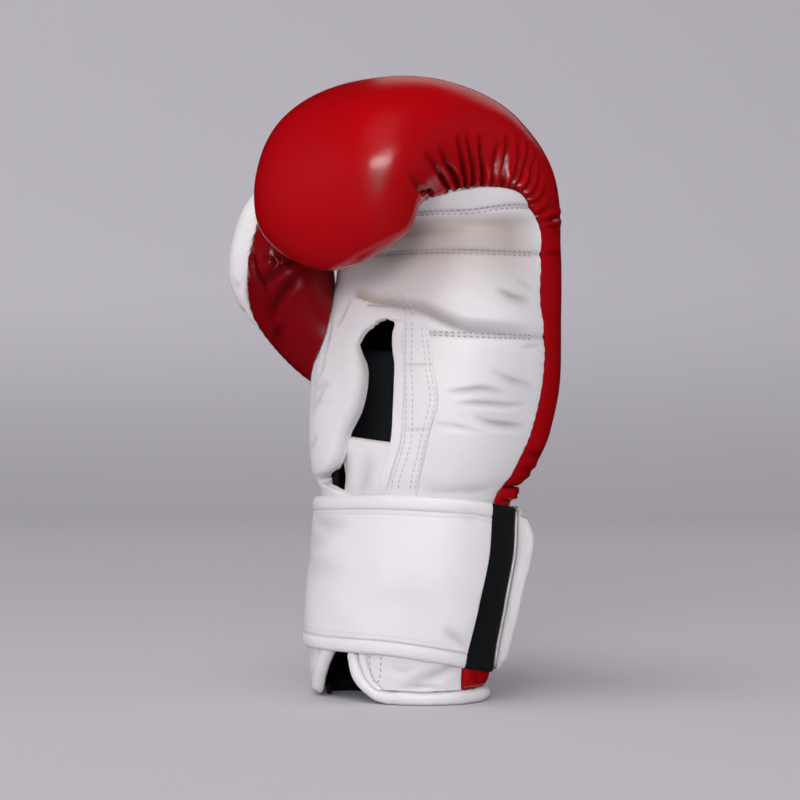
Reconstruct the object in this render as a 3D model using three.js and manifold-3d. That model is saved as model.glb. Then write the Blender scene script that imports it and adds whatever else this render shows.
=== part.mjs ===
// A padded striking glove for the left hand, closed by a wide strap and standing on its cuff.
// Millimetres. +Z runs from the cuff up to the knuckles, the palm faces -Y and the little finger's side
// is +X. The origin is on the floor, under the middle of the glove.
//
// The body is a skin lofted through two short tables. Up to the height of HUB its sections are level.
// From there they turn round HUB, a line along X in the hollow under the curled fingers, over the
// knuckles and down to the fingertips. A second pair of tables does the same for the space inside.
// Every leather piece is a closed slab between two such surfaces.

import * as THREE from 'three';
import Module from 'manifold-3d';
import { mergeVertices } from 'three/addons/utils/BufferGeometryUtils.js';

const wasm = await Module();
wasm.setup();

// Driving sizes
const HUB = { y: -34, z: 217 };
const GAP = 0.35;
const CUFF_WALL = 3.4;
const LINING = 1.5;
const STRAP = 3;
const FLOOR = -HUB.z;
const BACK_SEAM = 100 - HUB.z;
const PALM_SEAM = 87 - HUB.z;
const LINING_GAP = 1.7;
const ROLL = { across: 3.4, deep: 2.9 };
const GATHERS = { from: 6, to: 116, count: 15, depth: 1.9, reach: 48 };
const COLOURS = { red: 0xb8000f, white: 0xe3e0e3, black: 0x14161a };

// Sections of the outside. palm and back are measured from HUB's line along the section, thumb and
// little are X of the two sides, and square is the corner exponent (2 is an ellipse).
const BODY_LEVEL = [
  { z: 0, palm: -6, back: 61, thumb: -50, little: 42, square: 2.1 },
  { z: 15, palm: -8, back: 62, thumb: -51.5, little: 42.5, square: 2.1 },
  { z: 45, palm: -6.5, back: 66, thumb: -52, little: 47, square: 2.1 },
  { z: 75, palm: -4, back: 70, thumb: -51, little: 50, square: 2.1 },
  { z: 93, palm: -3, back: 70, thumb: -50.5, little: 50, square: 2.1 },
  { z: 107, palm: -4, back: 79, thumb: -53, little: 57, square: 2.3 },
  { z: 125, palm: -3, back: 86, thumb: -55.5, little: 62, square: 2.5 },
  { z: 150, palm: -1, back: 91, thumb: -55, little: 63, square: 2.7 },
  { z: 180, palm: 3, back: 93, thumb: -52, little: 62, square: 2.6 },
  { z: 203, palm: 6, back: 92.5, thumb: -51, little: 62, square: 2.6 },
];
const BODY_TURNED = [
  { turn: 0, palm: 7, back: 91.5, thumb: -51, little: 62, square: 2.6 },
  { turn: 20, palm: 9, back: 93, thumb: -52, little: 62.5, square: 2.5 },
  { turn: 45, palm: 10.5, back: 86.5, thumb: -52, little: 62, square: 2.4 },
  { turn: 70, palm: 11, back: 77.5, thumb: -50, little: 60.5, square: 2.4 },
  { turn: 90, palm: 10.5, back: 72.5, thumb: -47, little: 59, square: 2.4 },
  { turn: 115, palm: 8.5, back: 66, thumb: -44, little: 57, square: 2.4 },
  { turn: 140, palm: 6, back: 58, thumb: -41, little: 55, square: 2.3 },
  { turn: 165, palm: 5, back: 50.5, thumb: -38, little: 53, square: 2.3 },
  { turn: 182, palm: 5, back: 47, thumb: -33, little: 50, square: 2.2 },
  { turn: 196, palm: 6.5, back: 43.5, thumb: -24, little: 43, square: 2.1 },
  { turn: 206, palm: 10, back: 39, thumb: -13, little: 33, square: 2 },
  { turn: 213, palm: 15, back: 33, thumb: -2, little: 22, square: 2 },
  { turn: 217, palm: 20, back: 27, thumb: 6, little: 14, square: 2 },
];

// Sections of the space inside, with the same columns.
const CUFF_ROWS = 5;
const HOLLOW_LEVEL = [
  ...BODY_LEVEL.slice(0, CUFF_ROWS).map(({ z, palm, back, thumb, little, square }) => ({
    z, palm: palm + CUFF_WALL, back: back - CUFF_WALL,
    thumb: thumb + CUFF_WALL, little: little - CUFF_WALL, square,
  })),
  { z: 120, palm: 1, back: 60, thumb: -45, little: 50, square: 2.3 },
  { z: 150, palm: 3.4, back: 58, thumb: -44, little: 50, square: 2.4 },
  { z: 185, palm: 7.5, back: 53, thumb: -41, little: 49, square: 2.4 },
];
const HOLLOW_TURNED = [
  { turn: 0, palm: 11, back: 48, thumb: -40, little: 48, square: 2.4 },
  { turn: 45, palm: 14.5, back: 43, thumb: -38, little: 46, square: 2.3 },
  { turn: 90, palm: 14.5, back: 36, thumb: -34, little: 44, square: 2.3 },
  { turn: 130, palm: 11.5, back: 29, thumb: -29, little: 40, square: 2.2 },
  { turn: 150, palm: 12, back: 24, thumb: -23, little: 35, square: 2 },
  { turn: 160, palm: 19, back: 21, thumb: -16, little: 30, square: 2 },
  { turn: 196, palm: 23, back: 24.5, thumb: -10, little: 28, square: 2 },
  { turn: 217, palm: 23, back: 24.2, thumb: 8, little: 12, square: 2 },
];

// Where the red back meets the white palm, in degrees round the section: 0 is the little finger's side,
// 90 the back, -90 the palm. little and thumb are the two seams at a place along the path.
const SEAMS = [
  { path: -217, little: -8, thumb: 172 },
  { path: -117, little: 4, thumb: 172 },
  { path: -103, little: 5.5, thumb: 174 },
  { path: -84, little: 10, thumb: 178 },
  { path: -60, little: 13, thumb: 186 },
  { path: -27, little: 7, thumb: 192 },
  { path: 0, little: 6, thumb: 194 },
  { path: 12, little: -2, thumb: 196 },
  { path: 25, little: -11, thumb: 200 },
  { path: 40, little: -26, thumb: 210 },
  { path: 60, little: -43, thumb: 224 },
  { path: 90, little: -56, thumb: 236 },
  { path: 140, little: -62, thumb: 242 },
  { path: 217, little: -64, thumb: 244 },
];

// The opening that runs from the palm down through the cuff. A level row holds the angles of its two
// edges on the cuff. Above the cuff it is an outline in X and Z, cut through the palm panel.
const CUFF_OPENING = [
  { path: -217, thumb: -112, little: -60 },
  { path: -214, thumb: -111, little: -69 },
  { path: -211, thumb: -110, little: -77 },
  { path: -207, thumb: -108, little: -83 },
  { path: -201, thumb: -104, little: -87 },
  { path: -192, thumb: -101, little: -90 },
  { path: -130, thumb: -120, little: -80 },
];
const SLIT = [
  { x: -31, z: 83 }, { x: -29, z: 95 }, { x: -21, z: 107 }, { x: -13, z: 119 }, { x: -7, z: 130 },
  { x: -3, z: 141 }, { x: -2, z: 153 }, { x: -5, z: 162 }, { x: -9, z: 168 }, { x: -3, z: 173 },
  { x: 6, z: 178 }, { x: 16, z: 179 }, { x: 21, z: 175 }, { x: 21, z: 150 }, { x: 19, z: 123 },
  { x: 15, z: 111 }, { x: 9, z: 95 }, { x: 7, z: 83 },
];

// The strip on the palm beside the opening: X of its two edges.
const FACING = [
  { z: 98, left: 19, right: 27 },
  { z: 113, left: 25, right: 34 },
  { z: 130, left: 28, right: 36.5 },
  { z: 155, left: 29, right: 38.5 },
  { z: 177, left: 29.5, right: 39.5 },
];

// Top and bottom of the strap at angles round the wrist.
const STRAP_EDGES = [
  { angle: -200, bottom: 21, top: 93 },
  { angle: -143, bottom: 23, top: 94 },
  { angle: -70, bottom: 23.5, top: 96.5 },
  { angle: -25, bottom: 19.5, top: 95 },
  { angle: -4, bottom: 16.5, top: 93 },
  { angle: 36, bottom: 13, top: 90 },
  { angle: 170, bottom: 19, top: 91 },
];
const STRAP_ENDS = {
  anchor: -186, elasticTop: -3, elasticBottom: -9, elasticEnd: 40, tail: 34, tailEnd: 162,
};
const STRAP_GAP = 0.45;

// How far the padded end of the strap stands out, over its height.
const TAIL_BULGE = [
  { at: 0, out: 2.6 },
  { at: 0.06, out: 5 },
  { at: 0.2, out: 6.2 },
  { at: 0.55, out: 7.2 },
  { at: 0.82, out: 8.6 },
  { at: 0.94, out: 6.5 },
  { at: 1, out: 2.8 },
];

// Thumb: places along its middle, from inside the hand to the tip, with the outer and inner radius, how
// much further the web reaches to the hand, and the angle of the seam between its red and white faces.
const THUMB = [
  { x: -28, y: -4, z: 155, radius: 20, web: 0, inner: 13, seam: -150 },
  { x: -48, y: -12, z: 167, radius: 19.5, web: 5, inner: 13, seam: -150 },
  { x: -64.5, y: -22, z: 184, radius: 18, web: 14, inner: 12, seam: -125 },
  { x: -74.5, y: -29, z: 204, radius: 18, web: 15, inner: 11, seam: -70 },
  { x: -73, y: -26, z: 225, radius: 16.5, web: 9, inner: 9, seam: -66 },
  { x: -69, y: -22, z: 239, radius: 12.5, web: 0, inner: 2, seam: -66 },
  { x: -65.5, y: -20, z: 247, radius: 6.5, web: 0, inner: 0.6, seam: -66 },
  { x: -64, y: -19, z: 250, radius: 1.2, web: 0, inner: 0.6, seam: -66 },
];
const THUMB_BACK_SEAM = 120;

// Path places of the sections. Below 0 the path is the height over HUB, above 0 the turn in degrees.
const GATHER_STEP = (GATHERS.to - GATHERS.from) / (2 * GATHERS.count);
const CHANNELS = [-46, -8.5, GATHERS.from + 4 * GATHER_STEP];
const PLEATS = Array.from({ length: 2 * GATHERS.count + 1 }, (_, k) => GATHERS.from + k * GATHER_STEP);
const HAND_PATHS = [
  -106, -96, -84, -72, -60, -49, -46, -43, -32, -20, -11.5, -8.5, -5.5,
  0, ...PLEATS, 126, 138, 150, 160, 168, 176, 184, 191, 198, 204, 209, 213, 217,
];
const WRIST_PATHS = [-124, -120.5];
const VALLEYS = PLEATS.filter((_, k) => k % 2 === 1);

const radians = THREE.MathUtils.degToRad;

// Value of one column at a place along a table, by a smooth curve through its rows.
function column(rows, key, name, at) {
  const last = rows.length - 1;
  if (at <= rows[0][key]) return rows[0][name];
  if (at >= rows[last][key]) return rows[last][name];
  let i = 0;
  while (rows[i + 1][key] < at) i += 1;
  const step = rows[i + 1][key] - rows[i][key];
  const f = (at - rows[i][key]) / step;
  const slope = (j) => {
    if (j === 0 || j === last) return 0;
    const before = (rows[j][name] - rows[j - 1][name]) / (rows[j][key] - rows[j - 1][key]);
    const after = (rows[j + 1][name] - rows[j][name]) / (rows[j + 1][key] - rows[j][key]);
    if (before * after <= 0) return 0;
    return 2 * before * after / (before + after);
  };
  const a = rows[i][name];
  const b = rows[i + 1][name];
  const f2 = f * f;
  const f3 = f2 * f;
  return (2 * f3 - 3 * f2 + 1) * a + (f3 - 2 * f2 + f) * step * slope(i)
    + (3 * f2 - 2 * f3) * b + (f3 - f2) * step * slope(i + 1);
}

// The two tables of a surface become one, keyed by the path.
function joinTables(level, turned) {
  const lower = level.map(({ z, ...rest }) => ({ path: z - HUB.z, ...rest }));
  const upper = turned.map(({ turn, ...rest }) => ({ path: turn, ...rest }));
  return [...lower, ...upper];
}

const BODY = joinTables(BODY_LEVEL, BODY_TURNED);
const HOLLOW = joinTables(HOLLOW_LEVEL, HOLLOW_TURNED);

// Point on a surface at a path place and an angle round the section, moved outwards by a depth.
function surface(table, path, angle, depth = 0) {
  const value = (name) => column(table, 'path', name, path);
  const halfWidth = (value('little') - value('thumb')) / 2 + depth;
  const halfDepth = (value('back') - value('palm')) / 2 + depth;
  const square = value('square');
  const c = Math.cos(radians(angle));
  const s = Math.sin(radians(angle));
  const reach = (Math.abs(c) ** square + Math.abs(s) ** square) ** (-1 / square);
  const x = (value('little') + value('thumb')) / 2 + halfWidth * reach * c;
  const out = (value('back') + value('palm')) / 2 + halfDepth * reach * s;
  const turn = radians(Math.max(path, 0));
  const y = HUB.y + out * Math.cos(turn);
  const z = HUB.z + Math.min(path, 0) + out * Math.sin(turn);
  return new THREE.Vector3(x, y, z);
}

const skin = (path, angle, depth) => surface(BODY, path, angle, depth);
const hollow = (path, angle, depth) => surface(HOLLOW, path, angle, depth);
const ease = (from, to, at) => THREE.MathUtils.smoothstep(at, from, to);

// Evenly spaced values, both ends included.
function spread(from, to, count) {
  return Array.from({ length: count + 1 }, (_, i) => from + (to - from) * i / count);
}

// Triangles

// Strip of triangles between two rows of vertex numbers, which may differ in length.
function strip(faces, lower, upper) {
  let i = 0;
  let j = 0;
  while (i < lower.length - 1 || j < upper.length - 1) {
    const lowerNext = (i + 1) / Math.max(lower.length - 1, 1);
    const upperNext = (j + 1) / Math.max(upper.length - 1, 1);
    const stepLower = j === upper.length - 1 || (i < lower.length - 1 && lowerNext <= upperNext);
    if (stepLower) {
      faces.push(lower[i], lower[i + 1], upper[j]);
      i += 1;
    } else {
      faces.push(lower[i], upper[j + 1], upper[j]);
      j += 1;
    }
  }
}

// The two triangles of an edge between the outer and the inner grid. Neighbours split theirs the same way.
function edgeFaces([out, outNext, back, backNext]) {
  return [out, outNext, back, outNext, backNext, back];
}

// Closed solid between an outer and an inner grid of points with equally many rows.
function slab(outer, inner) {
  const points = [];
  const number = (grid) => grid.map((row) => row.map((p) => points.push(p) - 1));
  const out = number(outer);
  const back = number(inner);
  const faces = [];
  for (let i = 0; i < out.length - 1; i += 1) {
    strip(faces, out[i], out[i + 1]);
    strip(faces, back[i + 1], back[i]);
    const edge = (at) => edgeFaces([out[i].at(at), out[i + 1].at(at), back[i].at(at), back[i + 1].at(at)]);
    faces.push(...edge(0), ...edge(-1).reverse());
  }
  strip(faces, back[0], out[0]);
  strip(faces, out.at(-1), back.at(-1));
  return closed(points, faces);
}

// Solid from points and faces, turned so that its faces point out.
function closed(points, faces) {
  const p = points;
  let volume = 0;
  for (let i = 0; i < faces.length; i += 3) {
    volume += p[faces[i]].dot(new THREE.Vector3().crossVectors(p[faces[i + 1]], p[faces[i + 2]]));
  }
  const turned = [...faces];
  if (volume < 0) {
    for (let i = 0; i < faces.length; i += 3) {
      turned[i + 1] = faces[i + 2];
      turned[i + 2] = faces[i + 1];
    }
  }
  const geometry = new THREE.BufferGeometry();
  geometry.setAttribute('position', new THREE.Float32BufferAttribute(p.flatMap((v) => v.toArray()), 3));
  geometry.setIndex(turned);
  return geometry;
}

function toManifold(geometry) {
  const plain = geometry.clone();
  plain.deleteAttribute('normal');
  plain.deleteAttribute('uv');
  const merged = mergeVertices(plain, 1e-4);
  return new wasm.Manifold(new wasm.Mesh({
    numProp: 3,
    vertProperties: new Float32Array(merged.attributes.position.array),
    triVerts: new Uint32Array(merged.index.array),
  }));
}

function fromManifold(solid) {
  const mesh = solid.getMesh();
  const geometry = new THREE.BufferGeometry();
  geometry.setAttribute('position', new THREE.BufferAttribute(mesh.vertProperties, 3));
  geometry.setIndex(new THREE.BufferAttribute(mesh.triVerts, 1));
  return geometry;
}

function cut(geometry, ...tools) {
  const whole = toManifold(geometry);
  return fromManifold(tools.reduce((left, tool) => left.subtract(toManifold(tool)), whole));
}

// Outside of the body, moved along the wall's thickness by a relief.
function relieved(path, angle, relief) {
  const outer = skin(path, angle);
  const through = outer.clone().sub(hollow(path, angle)).normalize();
  return outer.addScaledVector(through, relief);
}

// Slab between two surfaces over path places, from one angle to another.
function bandSlab({ paths, from, to, columns, innerColumns = columns, outside, inside }) {
  const row = (path, count, point) => spread(from(path), to(path), count).map((a) => point(path, a));
  const outer = paths.map((path) => row(path, columns, outside));
  const inner = paths.map((path) => row(path, innerColumns, inside));
  return slab(outer, inner);
}

// An angle that is GAP millimetres wide at a path place.
function gapAngle(path) {
  const width = column(BODY, 'path', 'little', path) - column(BODY, 'path', 'thumb', path);
  return THREE.MathUtils.radToDeg(GAP / Math.max(width / 2, 14));
}

const littleSeam = (path) => column(SEAMS, 'path', 'little', path);
const thumbSeam = (path) => column(SEAMS, 'path', 'thumb', path);

// Solid between closed rows of points, such as the sections of a roll or of the whole body.
function lofted(rows) {
  const points = rows.flat();
  const size = rows[0].length;
  const faces = [];
  for (let i = 0; i < rows.length - 1; i += 1) {
    for (let j = 0; j < size; j += 1) {
      const next = (j + 1) % size;
      const [a, b, c, d] = [i * size + j, i * size + next, (i + 1) * size + j, (i + 1) * size + next];
      faces.push(a, b, c, b, d, c);
    }
  }
  for (const [row, flip] of [[0, true], [rows.length - 1, false]]) {
    const centre = points.push(rows[row].reduce((sum, p) => sum.add(p), new THREE.Vector3())
      .divideScalar(size)) - 1;
    for (let j = 0; j < size; j += 1) {
      const a = row * size + j;
      const b = row * size + (j + 1) % size;
      faces.push(...(flip ? [b, a, centre] : [a, b, centre]));
    }
  }
  return closed(points, faces);
}

// Roll along a line of { point, normal } places: an oval section, wide across and thin along the normal.
function roll(places, across, deep, sides, floor = -Infinity) {
  const rows = places.map(({ point, normal }, i) => {
    const before = places[Math.max(i - 1, 0)].point;
    const after = places[Math.min(i + 1, places.length - 1)].point;
    const along = after.clone().sub(before).normalize();
    const side = new THREE.Vector3().crossVectors(along, normal).normalize();
    return Array.from({ length: sides }, (_, k) => {
      const angle = 2 * Math.PI * (k + 0.5) / sides;
      const p = point.clone();
      p.addScaledVector(side, across * Math.cos(angle));
      p.addScaledVector(normal, deep * Math.sin(angle));
      p.z = Math.max(p.z, floor);
      return p;
    });
  });
  return lofted(rows);
}

// A place on the skin with its outward direction, for a roll.
function skinPlace(path, angle, depth) {
  const normal = skin(path, angle, 1).sub(skin(path, angle, 0)).normalize();
  return { point: skin(path, angle).addScaledVector(normal, depth), normal };
}

// The angle at which the palm side of a level section reaches an X.
function palmAngle(path, x) {
  let low = -90 - 80;
  let high = -90 + 80;
  for (let i = 0; i < 30; i += 1) {
    const middle = (low + high) / 2;
    if (skin(path, middle).x < x) low = middle;
    else high = middle;
  }
  return low;
}

// Pleats of the red leather beside the seam, deepest at the stitches and gone after GATHERS.reach degrees.
function gathers(path, angle) {
  const away = Math.min(angle - littleSeam(path), thumbSeam(path) - angle);
  const near = 1 - ease(0, GATHERS.reach, away);
  const start = ease(GATHERS.from - 4, GATHERS.from + 14, path);
  const end = 1 - ease(GATHERS.to - 20, GATHERS.to + 4, path);
  const wave = Math.cos(Math.PI * (path - GATHERS.from) / GATHER_STEP);
  return GATHERS.depth * near * start * end * (0.5 * wave - 0.5);
}

function knuckleShell() {
  return bandSlab({
    paths: [BACK_SEAM, ...HAND_PATHS],
    from: (p) => littleSeam(p) + gapAngle(p),
    to: (p) => thumbSeam(p) - gapAngle(p),
    columns: 20,
    innerColumns: 8,
    outside: (p, a) => relieved(p, a, gathers(p, a)),
    inside: hollow,
  });
}

// The palm's sewn channels, and its padded roll between the slit and the thumb.
const CHANNEL_DEPTH = 1.6;
const THENAR = 3;

function palmRelief(path, angle) {
  const groove = CHANNELS.reduce((sum, at) => sum + Math.max(0, 1 - Math.abs(path - at) / 3), 0);
  const side = ease(-172, -150, angle) * (1 - ease(-118, -104, angle));
  const low = ease(-119.5, -113, path);
  return THENAR * side * low * (1 - ease(-52, -30, path)) - CHANNEL_DEPTH * groove;
}

function palmPanel() {
  return bandSlab({
    paths: [PALM_SEAM, ...WRIST_PATHS, BACK_SEAM, ...HAND_PATHS].filter((p) => !VALLEYS.includes(p)),
    from: (p) => thumbSeam(p) - 360 + gapAngle(p),
    to: (p) => littleSeam(p) - gapAngle(p),
    columns: 14,
    innerColumns: 8,
    outside: (p, a) => relieved(p, a, palmRelief(p, a)),
    inside: hollow,
  });
}

// Prism through the palm wall in the outline of the slit.
function slitCutter() {
  const outline = new THREE.Shape(SLIT.map(({ x, z }) => new THREE.Vector2(x, z)));
  const prism = new THREE.ExtrudeGeometry(outline, { depth: 40, bevelEnabled: false });
  prism.rotateX(Math.PI / 2);
  prism.translate(0, HUB.y + 20, 0);
  return prism;
}

// Wall of the cuff between two angles.
function cuffWall(paths, from, to, columns) {
  return bandSlab({
    paths, from, to, columns, outside: skin, inside: (p, a) => skin(p, a, -CUFF_WALL),
  });
}

const CUFF_PATHS = [-207, -200, -190, -176, -158, -142];
const ROLL_TOP = FLOOR + 2 * ROLL.across + GAP;
const openingLittle = (path) => column(CUFF_OPENING, 'path', 'little', path);
const openingThumb = (path) => column(CUFF_OPENING, 'path', 'thumb', path);
const rollAngle = (path) => gapAngle(path) * 2 * ROLL.across / GAP;

function cuffBack() {
  return cuffWall(
    [ROLL_TOP, ...CUFF_PATHS, PALM_SEAM - GAP, ...WRIST_PATHS, BACK_SEAM - GAP],
    (p) => littleSeam(p) + gapAngle(p),
    (p) => thumbSeam(p) - gapAngle(p),
    16,
  );
}

function cuffPalm() {
  return cuffWall(
    [ROLL_TOP, ...CUFF_PATHS, PALM_SEAM - GAP],
    (p) => openingLittle(p) + rollAngle(p) + gapAngle(p),
    (p) => littleSeam(p) - gapAngle(p),
    10,
  );
}

function cuffThumbSide() {
  return cuffWall(
    [ROLL_TOP, ...CUFF_PATHS, PALM_SEAM - GAP],
    (p) => thumbSeam(p) - 360 + gapAngle(p),
    openingThumb,
    10,
  );
}

// Thick roll round the cuff's edge: down the flap's side of the opening, round its corner and along the
// rim. A margin makes it thicker.
const BINDING_DEPTH = -1.6;
const CORNER_PATHS = [-194.5, -201, -207, -211, -213];

function cuffBinding(margin = 0) {
  const down = CORNER_PATHS.map((p) => skinPlace(p, openingLittle(p) + rollAngle(p) / 2, BINDING_DEPTH));
  const round = spread(-64, 238, 28).map((a) => skinPlace(FLOOR + ROLL.across, a, BINDING_DEPTH));
  const flat = round.map(({ point, normal }) => ({ point, normal: normal.setZ(0).normalize() }));
  return roll([...down, ...flat], ROLL.across + margin, ROLL.deep + margin, 8, -margin);
}

// Band over the cuff between two angles, with edges that follow STRAP_EDGES.
function strapBand({ from, to, columns, rows, base, thickness }) {
  const grid = (depth) => spread(0, 1, rows).map((v) => {
    const start = typeof from === 'function' ? from(v) : from;
    return spread(start, to(v), columns).map((angle) => {
      const bottom = column(STRAP_EDGES, 'angle', 'bottom', angle);
      const top = column(STRAP_EDGES, 'angle', 'top', angle);
      return skin(bottom + (top - bottom) * v - HUB.z, angle, depth(v, angle));
    });
  });
  return slab(grid((v, a) => base(a) + thickness(v, a)), grid((v, a) => base(a)));
}

function elasticStart(v) {
  return THREE.MathUtils.lerp(STRAP_ENDS.elasticBottom, STRAP_ENDS.elasticTop, v);
}

function strapPanel() {
  return strapBand({
    from: () => STRAP_ENDS.anchor, to: (v) => elasticStart(v) - 0.4, columns: 22, rows: 4,
    base: () => STRAP_GAP, thickness: () => STRAP,
  });
}

function strapElastic() {
  return strapBand({
    from: elasticStart, to: () => STRAP_ENDS.elasticEnd, columns: 6, rows: 4,
    base: () => STRAP_GAP, thickness: () => STRAP - 1,
  });
}

function strapTail() {
  const over = 3 * STRAP_GAP + STRAP - 1;
  return strapBand({
    from: () => STRAP_ENDS.tail, to: () => STRAP_ENDS.tailEnd, columns: 13, rows: 8,
    base: (a) => over - (over - STRAP_GAP) * ease(STRAP_ENDS.elasticEnd + 2, STRAP_ENDS.elasticEnd + 16, a),
    thickness: (v) => column(TAIL_BULGE, 'at', 'out', v),
  });
}

// Padded tongue behind the opening, and the black lining round the rest of the inside.
const TONGUE = { from: 55 - HUB.z, to: 123 - HUB.z, thumb: -126, little: -62, thick: 3 };

function tongue() {
  return bandSlab({
    paths: spread(TONGUE.from, TONGUE.to, 5),
    from: () => TONGUE.thumb,
    to: () => TONGUE.little,
    columns: 8,
    outside: (p, a) => hollow(p, a, -LINING_GAP),
    inside: (p, a) => hollow(p, a, -LINING_GAP - TONGUE.thick),
  });
}

function handLining() {
  return bandSlab({
    paths: [FLOOR + 2, -200, -176, -150, -124, -117, -106, -72, -43, -26],
    from: () => TONGUE.little + 2,
    to: () => TONGUE.thumb + 360 - 2,
    columns: 14,
    outside: (p, a) => hollow(p, a, -LINING_GAP),
    inside: (p, a) => hollow(p, a, -LINING_GAP - LINING),
  });
}

// White edge strip down the little finger's side of the slit, and the sewn strip next to it.
const EDGE_STRIP = { across: 2.9, deep: 0.8 };

function slitBinding() {
  const side = [{ x: 10, z: 98.5 }, ...SLIT.filter(({ x, z }) => x > 10 && z > 99 && z < 176).reverse()];
  const places = side.map(({ x, z }) => {
    const path = z - HUB.z;
    return skinPlace(path, palmAngle(path, x + EDGE_STRIP.across + 1), EDGE_STRIP.deep + 0.5);
  });
  return roll(places, EDGE_STRIP.across, EDGE_STRIP.deep, 8);
}

function palmFacing() {
  return bandSlab({
    paths: [98.5 - HUB.z, ...HAND_PATHS.filter((p) => p < -40), -40],
    from: (p) => palmAngle(p, column(FACING, 'z', 'left', p + HUB.z)),
    to: (p) => palmAngle(p, column(FACING, 'z', 'right', p + HUB.z)),
    columns: 3,
    outside: (p, a) => relieved(p, a, palmRelief(p, a) + GAP + 1.3),
    inside: (p, a) => relieved(p, a, palmRelief(p, a) + GAP),
  });
}

// Point on the thumb at a place along its table, an angle round it (0 faces +X, 90 faces +Y) and a radius.
const THUMB_KEYED = THUMB.map((row, at) => ({ at, ...row }));
const thumbValue = (name, at) => column(THUMB_KEYED, 'at', name, at);

function thumbPoint(at, angle, radius) {
  const middle = (t) => new THREE.Vector3(thumbValue('x', t), thumbValue('y', t), thumbValue('z', t));
  const along = middle(at + 0.25).sub(middle(at - 0.25)).normalize();
  const u = new THREE.Vector3(1, 0, 0).addScaledVector(along, -along.x).normalize();
  const v = new THREE.Vector3().crossVectors(along, u);
  const p = middle(at);
  p.addScaledVector(u, radius * Math.cos(radians(angle)));
  return p.addScaledVector(v, radius * Math.sin(radians(angle)));
}

const THUMB_PLACES = spread(0, THUMB.length - 1, 2 * (THUMB.length - 1));

// One face of the thumb between two angles, hollow inside, with the hand cut away from its root.
function thumbFace(from, to) {
  const gap = (radius) => THREE.MathUtils.radToDeg(Math.asin(Math.min(1, GAP / 2 / radius)));
  const row = (at, radius, web, count) => spread(from(at) + gap(radius), to(at) - gap(radius), count)
    .map((a) => thumbPoint(at, a, radius + web * Math.max(0, Math.cos(radians(a))) ** 2));
  const outer = THUMB_PLACES.map((at) => row(at, thumbValue('radius', at), thumbValue('web', at), 10));
  const inner = THUMB_PLACES.map((at) => row(at, thumbValue('inner', at), 0, 8));
  return cut(slab(outer, inner), handCutter());
}

const thumbSeamAngle = (at) => thumbValue('seam', at);

// The body a gap larger, with its relief, from the wrist to the knuckles.
const HAND_GAP = 0.5;

function handCutter() {
  const paths = [...spread(-100, 0, 10), 12, 24];
  const ring = spread(-180, 180, 48).slice(1);
  const clear = (p, a) => relieved(p, a, Math.max(0, palmRelief(p, a)) + HAND_GAP);
  return lofted(paths.map((p) => ring.map((a) => clear(p, a))));
}

// The hole through the hand's wall into the thumb.
const BORE = { radius: 12.5, to: 1.6, sides: 14 };

function thumbBore() {
  const ring = spread(0, 360, BORE.sides).slice(1);
  return lofted(spread(0, BORE.to, 4).map((at) => ring.map((a) => thumbPoint(at, a, BORE.radius))));
}

function material(colour, roughness) {
  return new THREE.MeshStandardMaterial({ color: colour, roughness, metalness: 0 });
}

const red = material(COLOURS.red, 0.35);
const white = material(COLOURS.white, 0.5);
const black = material(COLOURS.black, 0.9);

const glove = new THREE.Group();

function piece(name, geometry, look) {
  const mesh = new THREE.Mesh(geometry, look);
  mesh.name = name;
  glove.add(mesh);
}

piece('knuckle_shell', cut(knuckleShell(), thumbBore()), red);
piece('palm_panel', cut(palmPanel(), slitCutter(), thumbBore()), white);
piece('slit_binding', slitBinding(), white);
piece('palm_facing', palmFacing(), white);
piece('tongue', tongue(), white);
piece('hand_lining', cut(handLining(), thumbBore()), black);
piece('thumb_inner', thumbFace(thumbSeamAngle, () => THUMB_BACK_SEAM), red);
piece('thumb_outer', thumbFace(() => THUMB_BACK_SEAM, (at) => thumbSeamAngle(at) + 360), white);
piece('cuff_back', cut(cuffBack(), cuffBinding(GAP)), red);
piece('cuff_palm', cut(cuffPalm(), cuffBinding(GAP)), white);
piece('cuff_thumb_side', cut(cuffThumbSide(), cuffBinding(GAP)), white);
piece('cuff_binding', cuffBinding(), white);
piece('strap_panel', strapPanel(), white);
piece('strap_elastic', strapElastic(), black);
piece('strap_tail', strapTail(), white);

// The origin is on the floor, under the middle of the glove.
const extent = new THREE.Box3().setFromObject(glove);
const middle = extent.getCenter(new THREE.Vector3());
glove.position.set(-middle.x, -middle.y, -extent.min.z);
glove.updateMatrixWorld(true);

export default glove;
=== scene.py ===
# %% [markdown]
# # A padded striking glove in red and white leather
# The glove stands on its cuff, palm half turned to the camera. Its solids come packed from the CAD
# step as a fixed frame. Here each plain solid gets a stand-in with the real one's folds, gathers,
# seams and stitches, and a finish that follows the real material.
#
# Sculpting by hand could give such folds too, but nobody could repeat or mend it. So every fold here
# is a line with a width and a depth, and a change to the glove is a change to a number.

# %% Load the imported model
import math

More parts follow.
